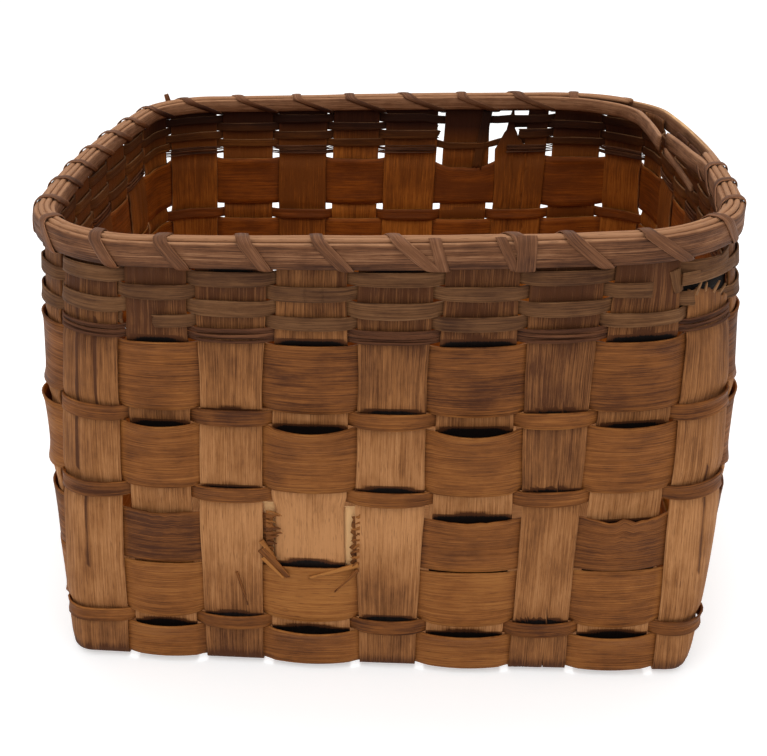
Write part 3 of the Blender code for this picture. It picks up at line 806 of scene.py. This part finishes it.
def outerHoopTone(u, v):
    # The bare stretch in the far right corner is worn pale.
    bare = np.clip(1 - np.abs(u - bareStretch["middle"]) / bareStretch["half"], 0, 1) ** 0.5
    top = np.clip(np.sin(v * 2 * math.pi) * 2 - 0.6, 0, 1)
    return hoopTone(u, v) + bareStretch["tone"] * bare * top


def tailShape(u, v):
    # The half of the inner hoop that has split off at its broken end and hangs down.
    angle = v * 2 * math.pi
    run, height, offset = (atShare(u, ends) for ends in zip(hoopTail["start"], hoopTail["end"]))
    side, rise = squared(np.cos(angle), 0.6), np.sin(angle)
    halfDepth, halfHeight = hoopTail["half"]
    points = offWall(run + 0.05 * rise, height + halfHeight * rise, offset + halfDepth * side)
    return points, u * hoopTail["length"] * mm, (rise * halfHeight + side) * mm


def fillerShape(way, seed):
    radius = rim["fillerRadius"]
    start, end = rim["fillerSpan"]

    def place(u, v):
        run = start + (end - start) * u
        angle = v * 2 * math.pi
        offset = way * rim["fillerMiddle"] + np.cos(angle) * radius + 0.3 * wobble(seed, run, 0.9)
        height = rim["fillerHeight"] + np.sin(angle) * radius + 0.3 * wobble(seed + 5, run, 0.8)
        return offWall(run, height, offset), run * wall["strip"] * mm, angle * radius * mm + seed

    return place


# Paler on top and darker underneath: a painted highlight and painted shade on the round strands.
def fillerTone(u, v):
    return 0.45 + 0.35 * np.sin(v * 2 * math.pi)


def makeHoops(material):
    pieces = []
    for name, hoop in hoops.items():
        count = round((hoop["span"][1] - hoop["span"][0]) * 7)
        tone = outerHoopTone if name == "outerHoop" else hoopTone
        pieces.append(stripMesh(name, count, 20, hoopShape(hoop), tone, loop=True))
    joinPieces(pieces[1], [stripMesh("hoopTail", 12, 12, tailShape, evenTone(0.15), loop=True)])
    for name, way, seed in (("outerFiller", 1, 311), ("innerFiller", -1, 312)):
        pieces.append(stripMesh(name, 240, 8, fillerShape(way, seed), fillerTone, loop=True))
    for piece in pieces:
        finishPiece(piece, nodeOf(piece.name), material)
    print("hoops and fillers made")


# The outline that the lashing follows, in mm: how far its corners are cut off at the top and under the hoops,
# how it stands off them, where it crosses the fillers, and the steps over which it is rounded.
bound = {
    "corner": 0.9, "under": 1.2, "skin": 0.1, "belly": 0.35, "crownReach": 2.9, "crown": 1.5,
    "rounding": (-0.8, -0.4, 0, 0.4, 0.8),
}


def rimSection():
    # The bound section: from the fillers down the outer hoop, under both hoops, up the inner hoop and back.
    low, innerLow = rim["low"] - rim["seat"], rim["innerLow"] - rim["seat"]
    high, inner, outer = rim["high"], rim["inner"], rim["outer"]
    corner, under, skin, belly = bound["corner"], bound["under"], bound["skin"], bound["belly"]
    reach, crown = bound["crownReach"], high + bound["crown"]
    corners = np.array([
        (reach, crown), (outer - corner, high + skin), (outer - skin, high - corner),
        (outer + belly, (low + high) / 2), (outer - skin, low + corner), (outer - under, low),
        (inner + under, innerLow), (inner + skin, innerLow + corner), (inner - belly, (innerLow + high) / 2),
        (inner + skin, high - corner), (inner + corner, high + skin), (-reach, crown), (reach, crown)])
    run = np.concatenate([[0], np.cumsum(np.hypot(*np.diff(corners, axis=0).T))])
    fine = np.linspace(0, run[-1], 241)
    points = np.zeros((len(fine), 2))
    for ahead in bound["rounding"]:
        spots = np.mod(fine + ahead, run[-1])
        points += np.stack([np.interp(spots, run, corners[:, axis]) for axis in (0, 1)], 1)
    points /= len(bound["rounding"])
    return points, np.concatenate([[0], np.cumsum(np.hypot(*np.diff(points, axis=0).T))])


sectionPoints, sectionRun = rimSection()
sectionLength = sectionRun[-1]


def onRim(place, loop, lift):
    # place round the ring, loop the length round the section in mm, lift off its skin in mm.
    def at(spot, axis):
        return np.interp(np.mod(spot, sectionLength), sectionRun, sectionPoints[:, axis])

    loop = np.mod(loop, sectionLength)
    offset, height = at(loop, 0), at(loop, 1)
    slopeX, slopeZ = at(loop + 0.4, 0) - offset, at(loop + 0.4, 1) - height
    size = np.maximum(np.hypot(slopeX, slopeZ), 1e-6)
    return offWall(place, height + slopeX / size * lift, offset - slopeZ / size * lift)


# How far back along the rim each wrap starts at the top outside, by gap; others take about the usual lead.
wrapLeads = {
    -3.5: 0.28, -2.5: 0.35, -1.5: 0.32, -0.5: 0.42, 0.5: 0.52, 1.5: 0.12, 2.5: 0.52, 3.5: 0.58, 4.5: 0.40,
}
usualLead = 0.34
# Where the spiral starts, how many wraps it has, and the lengths round the section where it turns.
lashing = {
    "firstGap": 13.5, "wraps": 29, "lastBack": 29.5,
    "topOut": 1.6, "shoulder": 4.4, "under": 9.6, "backUp": 9.0,
    "width": 5.7, "thickness": 0.5, "lift": 0.45, "crown": 0.25,
    "narrowing": (0.68, 21.0, 4.5),          # under the hoops: how much, where and how far, round the section
}


def lashingRoute():
    # Stops of the spiral: place, and length round the section, which both only ever grow.
    bottomOut = lashing["shoulder"] + (rim["high"] - rim["low"])
    source = np.random.default_rng(77)
    stops = []
    for number in range(lashing["wraps"]):
        gap = lashing["firstGap"] + number
        place = gap if gap < lashing["lastBack"] else gap - ringPlaces
        lead = wrapLeads.get(place, usualLead + source.uniform(-0.05, 0.05))
        nextLead = wrapLeads.get(place + 1, usualLead)
        turn = number * sectionLength
        centre = gap + gapShifts[int(place - 0.5) % ringPlaces, 3]
        stops.append((centre - lead, turn + lashing["topOut"]))
        stops.append((centre - 0.02, turn + bottomOut))
        stops.append((centre + 0.02, turn + bottomOut + lashing["under"]))
        stops.append((centre + (1 - nextLead) * 0.90, turn + sectionLength - lashing["backUp"]))
    return np.array(stops)


# Mended places with a second turn: place at the top and at the bottom, width and lift in mm.
extraWraps = ((0.36, 0.50, 5.4, 0.45), (1.14, 1.37, 4.8, 0.45), (1.46, 1.46, 8.6, 1.0))
# The end of the lashing that sticks up at the far left, as a loose bit.
wrapEnd = (((21.40, 246.0), (21.44, 252.5), 3.4, (6.4, 6.2), 0.1, 0.8),)


def makeWrap(name, top, bottom, width, lift):
    # One extra turn over the outer hoop, from the top of the rim to under it.
    start, length = 0.6, 17.5

    def place(u, v):
        side = (v - 0.5) * width
        crowned = lift + lashing["crown"] * (1 - (2 * v - 1) ** 2)
        points = onRim(top + (bottom - top) * u + side / rim["pitch"], start + length * u, crowned)
        return points, u * 20 * mm + top, side * mm

    def tone(u, v):
        return 0.08 * wobble(9, u * 20 + top, 8.0)

    return stripMesh(name, 30, 6, place, tone, lashing["thickness"])


def makeLashing(material):
    stops = lashingRoute()
    steps = np.hypot(np.diff(stops[:, 0]) * rim["pitch"], np.diff(stops[:, 1]))
    steps = np.concatenate([[0], np.cumsum(steps)])

    def routeAt(run, axis):
        return np.interp(run, steps, stops[:, axis])

    def place(u, v):
        run = u * steps[-1]
        spot, loop = (sum(routeAt(run + ahead, axis) for ahead in (-1.6, 0, 1.6)) / 3 for axis in (0, 1))
        goSpot = (routeAt(run + 3, 0) - routeAt(run - 3, 0)) * rim["pitch"]
        goLoop = routeAt(run + 3, 1) - routeAt(run - 3, 1)
        slant = np.clip(np.hypot(goSpot, goLoop) / np.maximum(goLoop, 1e-6), 1, 1.5)
        loss, middle, spread = lashing["narrowing"]
        under = np.exp(-((np.mod(loop, sectionLength) - middle) / spread) ** 2)
        width = lashing["width"] * (1 - loss * under) * (1 + 0.10 * wobble(5, run, 60.0))
        side = (v - 0.5) * width * slant
        lift = lashing["lift"] + lashing["crown"] * (1 - (2 * v - 1) ** 2)
        return onRim(spot + side / rim["pitch"], loop, lift), run * mm, side * mm

    def tone(u, v):
        return 0.12 * wobble(8, u * steps[-1], 40.0)

    piece = stripMesh("rimLashing", 1500, 6, place, tone, lashing["thickness"])
    extra = [makeWrap(f"wrap{number}", *wrap) for number, wrap in enumerate(extraWraps)]
    joinPieces(piece, extra + makeFragments("wrapEnd", 671, wrapEnd))
    finishPiece(piece, nodeOf(piece.name), material)
    print("lashing made:", round(steps[-1]), "mm of splint")


def newGroup(name, inputs, outputs):
    group = bpy.data.node_groups.new(name, "ShaderNodeTree")
    for label, kind, value in inputs:
        socket = group.interface.new_socket(label, in_out="INPUT", socket_type=kind)
        if value is not None:
            socket.default_value = value
    for label, kind in outputs:
        group.interface.new_socket(label, in_out="OUTPUT", socket_type=kind)
    return group, group.nodes.new("NodeGroupInput"), group.nodes.new("NodeGroupOutput")


def addNoise(tree, vector, stretch, detail, roughness, shift=0.0):
    mapping = tree.nodes.new("ShaderNodeMapping")
    mapping.inputs["Scale"].default_value = stretch
    mapping.inputs["Location"].default_value = (shift, shift * 0.7, shift * 0.3)
    noise = tree.nodes.new("ShaderNodeTexNoise")
    noise.inputs["Scale"].default_value = 1.0
    noise.inputs["Detail"].default_value = detail
    noise.inputs["Roughness"].default_value = roughness
    tree.links.new(vector, mapping.inputs["Vector"])
    tree.links.new(mapping.outputs["Vector"], noise.inputs["Vector"])
    return noise.outputs["Fac"]


def addRange(tree, value, fromLow, fromHigh, toLow=0.0, toHigh=1.0):
    node = tree.nodes.new("ShaderNodeMapRange")
    node.inputs["From Min"].default_value, node.inputs["From Max"].default_value = fromLow, fromHigh
    node.inputs["To Min"].default_value, node.inputs["To Max"].default_value = toLow, toHigh
    tree.links.new(value, node.inputs["Value"])
    return node.outputs["Result"]


def setSocket(tree, socket, value):
    # A number or a colour is set on the socket itself, anything else is linked to it.
    if isinstance(value, (int, float, tuple)):
        socket.default_value = value
    else:
        tree.links.new(value, socket)


def addMath(tree, operation, first, second, clamp=False):
    node = tree.nodes.new("ShaderNodeMath")
    node.operation = operation
    node.use_clamp = clamp
    setSocket(tree, node.inputs[0], first)
    setSocket(tree, node.inputs[1], second)
    return node.outputs["Value"]


def addMix(tree, share, first, second, blend="MIX"):
    node = tree.nodes.new("ShaderNodeMix")
    node.data_type = "RGBA"
    node.blend_type = blend
    setSocket(tree, node.inputs["Factor"], share)
    setSocket(tree, node.inputs["A"], first)
    setSocket(tree, node.inputs["B"], second)
    return node.outputs["Result"]


def addAttribute(tree, name, output):
    reader = tree.nodes.new("ShaderNodeAttribute")
    reader.attribute_name = name
    return reader.outputs[output]


# The patterns of the grain: how often they repeat along and across a splint in a metre, detail, roughness,
# shift, and the values of the noise that count as none and all of it.
grain = {
    "Fibre": ((34.0, 1500.0, 1.0), 6.0, 0.7, 0.0, 0.33, 0.67),
    "Streak": ((11.0, 420.0, 1.0), 3.0, 0.55, 3.0, 0.25, 0.75),
    "Pore": ((120.0, 1500.0, 1.0), 3.0, 0.5, 7.0, 0.60, 0.72),
    "Stain": ((38.0, 70.0, 1.0), 5.0, 0.62, 11.0, 0.40, 0.72),
}
# How much each pattern counts in the wood's level, which runs from 0, deep, to 1, pale.
levels = {"least": 0.06, "Fibre": 0.56, "Streak": 0.24, "Stain": 0.30, "Pore": 0.55, "insideLeast": 0.2}
# Where on that level, or across a splint for rubbed, each of these begins and is full.
limits = {
    "hollow": (-0.7, -1.3), "fresh": (1.3, 1.8), "middle": (0.0, 0.46), "pale": (0.44, 0.95),
    "rubbed": (0.86, 1.0),
}
# The same for the inside of the basket: how it faces, and its heights and depths in metres; the last two give
# where painted shade falls close under the rim at the back.
insideLimits = {
    "facing": (-0.45, -0.75), "top": (0.239, 0.231), "foot": (0.004, 0.012),
    "shadeHeight": (0.199, 0.219), "shadeDepth": (0.10, 0.15, 0.25, 1.0),
}
# The colour of the painted shade in hollows.
hollowColour = (0.006, 0.003, 0.002, 1.0)
freshColour = (0.80, 0.47, 0.21, 1.0)
# Painted shade and painted bounce light: faces inside the basket are multiplied by this darker, redder tint.
insideShadeTint = (1.05, 0.72, 0.22, 1.0)
# Painted shade: faces inside close under the rim at the back are also multiplied by this tint.
underRimShadeTint = (0.18, 0.135, 0.11, 1.0)


def buildGrainGroup():
    # Long fibres, broad streaks, pores and stains of split wood, along the grain map.
    outputs = [(label, "NodeSocketFloat") for label in (*grain, "Height")]
    group, given, out = newGroup("splintGrain", [("Along", "NodeSocketVector", None)], outputs)
    values = {}
    for label, (stretch, detail, roughness, shift, low, high) in grain.items():
        noise = addNoise(group, given.outputs["Along"], stretch, detail, roughness, shift)
        values[label] = addRange(group, noise, low, high)
    ridges = addMath(group, "ADD", values["Fibre"], addMath(group, "MULTIPLY", values["Streak"], 0.6))
    values["Height"] = addMath(group, "SUBTRACT", ridges, values["Pore"])
    for label, value in values.items():
        group.links.new(value, out.inputs[label])
    return group


def buildColourGroup():
    # Colour of a splint from its grain: dark in the pores and stains, pale on the worn fibres and edges.
    colours = (("Pale", (0.5, 0.3, 0.2, 1)), ("Middle", (0.3, 0.15, 0.08, 1)), ("Deep", (0.1, 0.05, 0.02, 1)))
    numbers = (("Fibre", 0.5), ("Streak", 0.5), ("Pore", 0.0), ("Stain", 0.0), ("Tone", 0.0), ("Edge", 0.0),
               ("Edge Wear", 0.3), ("Inside", 0.0))
    inputs = [(label, "NodeSocketColor", value) for label, value in colours]
    inputs += [(label, "NodeSocketFloat", value) for label, value in numbers]
    group, given, out = newGroup("splintColour", inputs, [("Color", "NodeSocketColor")])
    fibre, tone, inside, pale, middle, deep = (
        given.outputs[label] for label in ("Fibre", "Tone", "Inside", "Pale", "Middle", "Deep"))

    def part(label, amount):
        return addMath(group, "MULTIPLY", given.outputs[label], amount)

    level = addMath(group, "ADD", levels["least"], part("Fibre", levels["Fibre"]))
    level = addMath(group, "ADD", level, part("Streak", levels["Streak"]))
    level = addMath(group, "ADD", level, tone)
    level = addMath(group, "SUBTRACT", level, part("Stain", levels["Stain"]))
    rubbed = addMath(group, "MULTIPLY", addRange(group, given.outputs["Edge"], *limits["rubbed"]), fibre)
    rubbed = addMath(group, "MULTIPLY", rubbed, given.outputs["Edge Wear"])
    # A tone far below the wood's own paints the black shade of a hollow, seen from outside only, and one far
    # above it fresh wood.
    outside = addRange(group, inside, 1.0, 0.0)
    hollow = addMath(group, "MULTIPLY", addRange(group, level, *limits["hollow"]), outside)
    fresh = addRange(group, level, *limits["fresh"])
    # Faces inside keep at least a set level, part of their painted shaded copy of the colour.
    level = addMath(group, "MAXIMUM", level, part("Inside", levels["insideLeast"]))
    level = addMath(group, "ADD", level, rubbed, clamp=True)
    colour = addMix(group, addRange(group, level, *limits["middle"]), deep, middle)
    colour = addMix(group, addRange(group, level, *limits["pale"]), colour, pale)
    colour = addMix(group, part("Pore", levels["Pore"]), colour, deep)
    colour = addMix(group, fresh, colour, freshColour)
    group.links.new(addMix(group, hollow, colour, hollowColour), out.inputs["Color"])
    return group


def buildInsideGroup():
    # Inside is 1 on surfaces that face the middle of the basket, which get painted shade, Deep where they lie
    # close under the rim, which get more.
    outputs = [("Inside", "NodeSocketFloat"), ("Deep", "NodeSocketFloat")]
    group, _, out = newGroup("insideOfBasket", [], outputs)
    here = group.nodes.new("ShaderNodeNewGeometry")
    facing = group.nodes.new("ShaderNodeVectorMath")
    facing.operation = "DOT_PRODUCT"
    group.links.new(addAttribute(group, "outward", "Vector"), facing.inputs[0])
    group.links.new(here.outputs["True Normal"], facing.inputs[1])
    spot = group.nodes.new("ShaderNodeSeparateXYZ")
    group.links.new(here.outputs["Position"], spot.inputs[0])
    height, depth = spot.outputs["Z"], spot.outputs["Y"]
    inner = addRange(group, facing.outputs["Value"], *insideLimits["facing"])
    for end in ("top", "foot"):
        inner = addMath(group, "MULTIPLY", inner, addRange(group, height, *insideLimits[end]))
    group.links.new(inner, out.inputs["Inside"])
    # Painted shade close under the rim, strongest at the back.
    deep = addRange(group, height, *insideLimits["shadeHeight"])
    deep = addMath(group, "MULTIPLY", deep, addRange(group, depth, *insideLimits["shadeDepth"]))
    group.links.new(addMath(group, "MULTIPLY", inner, deep), out.inputs["Deep"])
    return group


grainGroup = buildGrainGroup()
colourGroup = buildColourGroup()
insideGroup = buildInsideGroup()


def placeGroup(tree, group):
    node = tree.nodes.new("ShaderNodeGroup")
    node.node_tree = group
    return node


def splintMaterial(name, pale, middle, deep, roughness, edgeWear):
    material = bpy.data.materials.new(name)
    material.use_nodes = True
    tree = material.node_tree
    shader = tree.nodes["Principled BSDF"]
    along = tree.nodes.new("ShaderNodeUVMap")
    along.uv_map = "grain"
    pattern, colour, indoors = (placeGroup(tree, group) for group in (grainGroup, colourGroup, insideGroup))
    tree.links.new(along.outputs["UV"], pattern.inputs["Along"])
    for label, value in (("Pale", pale), ("Middle", middle), ("Deep", deep)):
        colour.inputs[label].default_value = (*value, 1)
    colour.inputs["Edge Wear"].default_value = edgeWear
    for label in grain:
        tree.links.new(pattern.outputs[label], colour.inputs[label])
    tree.links.new(addAttribute(tree, "tone", "Fac"), colour.inputs["Tone"])
    tree.links.new(addAttribute(tree, "edge", "Fac"), colour.inputs["Edge"])
    tree.links.new(indoors.outputs["Inside"], colour.inputs["Inside"])
    # Faces inside the basket get a darker, redder copy of the colour: painted shade and painted bounce light.
    insideShaded = addMix(tree, 1.0, colour.outputs["Color"], insideShadeTint, "MULTIPLY")
    insideShaded = addMix(tree, indoors.outputs["Inside"], colour.outputs["Color"], insideShaded)
    # Painted shade darkens the inside faces close under the rim.
    shaded = addMix(tree, 1.0, insideShaded, underRimShadeTint, "MULTIPLY")
    tree.links.new(addMix(tree, indoors.outputs["Deep"], insideShaded, shaded), shader.inputs["Base Color"])
    dull = addRange(tree, pattern.outputs["Streak"], 0.0, 1.0, roughness[1], roughness[0])
    tree.links.new(dull, shader.inputs["Roughness"])
    relief = tree.nodes.new("ShaderNodeBump")
    relief.inputs["Strength"].default_value = 0.35
    relief.inputs["Distance"].default_value = 0.0004
    tree.links.new(pattern.outputs["Height"], relief.inputs["Height"])
    tree.links.new(relief.outputs["Normal"], shader.inputs["Normal"])
    shader.inputs["Specular IOR Level"].default_value = 0.18
    return material


woods = {
    "stake_wood": {"name": "stakeWood", "roughness": (0.6, 0.85), "edgeWear": 0.15,
                   "pale": (0.55, 0.255, 0.098), "middle": (0.30, 0.118, 0.036),
                   "deep": (0.085, 0.027, 0.008)},
    "weaver_wood": {"name": "weaverWood", "roughness": (0.5, 0.75), "edgeWear": 0.25,
                    "pale": (0.42, 0.165, 0.038), "middle": (0.25, 0.083, 0.0165),
                    "deep": (0.065, 0.018, 0.004)},
    "trim_wood": {"name": "trimWood", "roughness": (0.6, 0.85), "edgeWear": 0.40,
                  "pale": (0.30, 0.145, 0.060), "middle": (0.155, 0.066, 0.024),
                  "deep": (0.050, 0.017, 0.006)},
    "fibre_wood": {"name": "fibreWood", "roughness": (0.7, 0.9), "edgeWear": 0.3,
                   "pale": (0.23, 0.092, 0.038), "middle": (0.125, 0.045, 0.018),
                   "deep": (0.035, 0.011, 0.005)},
    "rim_wood": {"name": "rimWood", "roughness": (0.5, 0.8), "edgeWear": 0.45,
                 "pale": (0.40, 0.195, 0.095), "middle": (0.185, 0.073, 0.030),
                 "deep": (0.050, 0.017, 0.007)},
    "lashing_wood": {"name": "lashingWood", "roughness": (0.45, 0.75), "edgeWear": 0.45,
                     "pale": (0.36, 0.165, 0.080), "middle": (0.180, 0.071, 0.029),
                     "deep": (0.055, 0.019, 0.008)},
}

# The camera is in mm, degrees and pixels; the floor, the lamps and where they aim are in metres and watts.
studio = {
    "cameraPlace": (16.1, -700.0, 443.7), "down": 26.32, "turn": -1.68, "roll": 0.84,
    "focal": 1200.0, "width": 767.0,
    "worldLight": 0.70, "worldSeen": 1.05, "floorGlow": 0.44, "floorSize": 6.0, "aim": (0.0, 0.0, 0.1),
}
lamps = {
    "key": {"place": (-0.5, -1.1, 1.9), "size": 1.6, "power": 8.0},
    "fill": {"place": (1.2, -1.5, 1.0), "size": 1.4, "power": 3.0},
    "top": {"place": (0.0, 0.35, 1.7), "size": 0.7, "power": 7.0},
}


def makeFloor():
    work = bmesh.new()
    bmesh.ops.create_grid(work, x_segments=1, y_segments=1, size=studio["floorSize"])
    data = bpy.data.meshes.new("floor")
    work.to_mesh(data)
    work.free()
    floor = addObject("floor", data)
    material = bpy.data.materials.new("floorWhite")
    material.use_nodes = True
    tree = material.node_tree
    shader = tree.nodes["Principled BSDF"]
    shader.inputs["Base Color"].default_value = (0.86, 0.86, 0.86, 1)
    shader.inputs["Roughness"].default_value = 0.9
    shader.inputs["Specular IOR Level"].default_value = 0.0
    rays = tree.nodes.new("ShaderNodeLightPath")
    seen = addMath(tree, "MAXIMUM", rays.outputs["Is Camera Ray"], rays.outputs["Is Glossy Ray"])
    seen = addMath(tree, "MAXIMUM", seen, rays.outputs["Is Transmission Ray"])
    tree.links.new(addMath(tree, "MULTIPLY", seen, studio["floorGlow"]), shader.inputs["Emission Strength"])
    shader.inputs["Emission Color"].default_value = (1, 1, 1, 1)
    data.materials.append(material)


def makeWorld():
    world = bpy.data.worlds.new("studio")
    bpy.context.scene.world = world
    world.use_nodes = True
    tree = world.node_tree
    background = tree.nodes["Background"]
    background.inputs["Color"].default_value = (1, 1, 1, 1)
    rays = tree.nodes.new("ShaderNodeLightPath")
    seen = addMath(tree, "MAXIMUM", rays.outputs["Is Camera Ray"], rays.outputs["Is Transmission Ray"])
    strength = addRange(tree, seen, 0.0, 1.0, studio["worldLight"], studio["worldSeen"])
    tree.links.new(strength, background.inputs["Strength"])


def makeLamps():
    for name, lamp in lamps.items():
        data = bpy.data.lights.new(name, "AREA")
        data.shape = "DISK"
        data.size = lamp["size"]
        data.energy = lamp["power"]
        thing = addObject(name, data)
        thing.location = lamp["place"]
        towards = Vector(studio["aim"]) - Vector(lamp["place"])
        thing.rotation_euler = towards.to_track_quat("-Z", "Y").to_euler()


def makeCamera():
    data = bpy.data.cameras.new("camera")
    data.sensor_fit = "HORIZONTAL"
    data.sensor_width = 36.0
    data.lens = studio["focal"] * data.sensor_width / studio["width"]
    data.clip_start, data.clip_end = 0.01, 50.0
    down, turn, roll = (math.radians(studio[key]) for key in ("down", "turn", "roll"))
    forward = Vector((math.sin(turn) * math.cos(down), math.cos(turn) * math.cos(down), -math.sin(down)))
    right = Vector((math.cos(turn), -math.sin(turn), 0.0))
    up = right.cross(forward)
    tilted = Matrix((right, up, -forward)).transposed()
    camera = addObject("camera", data)
    place = Matrix.Translation(Vector(studio["cameraPlace"]) * mm)
    camera.matrix_world = place @ tilted.to_4x4() @ Matrix.Rotation(roll, 4, "Z")
    bpy.context.scene.camera = camera


finishes = {slot: splintMaterial(**wood) for slot, wood in woods.items()}
makeStakes(finishes["stake_wood"])
makeWeavers(finishes)
makeHoops(finishes["rim_wood"])
makeLashing(finishes["lashing_wood"])
makeFloor()
makeWorld()
makeLamps()
makeCamera()
bpy.context.scene.view_settings.view_transform = "Standard"
print("stage set")
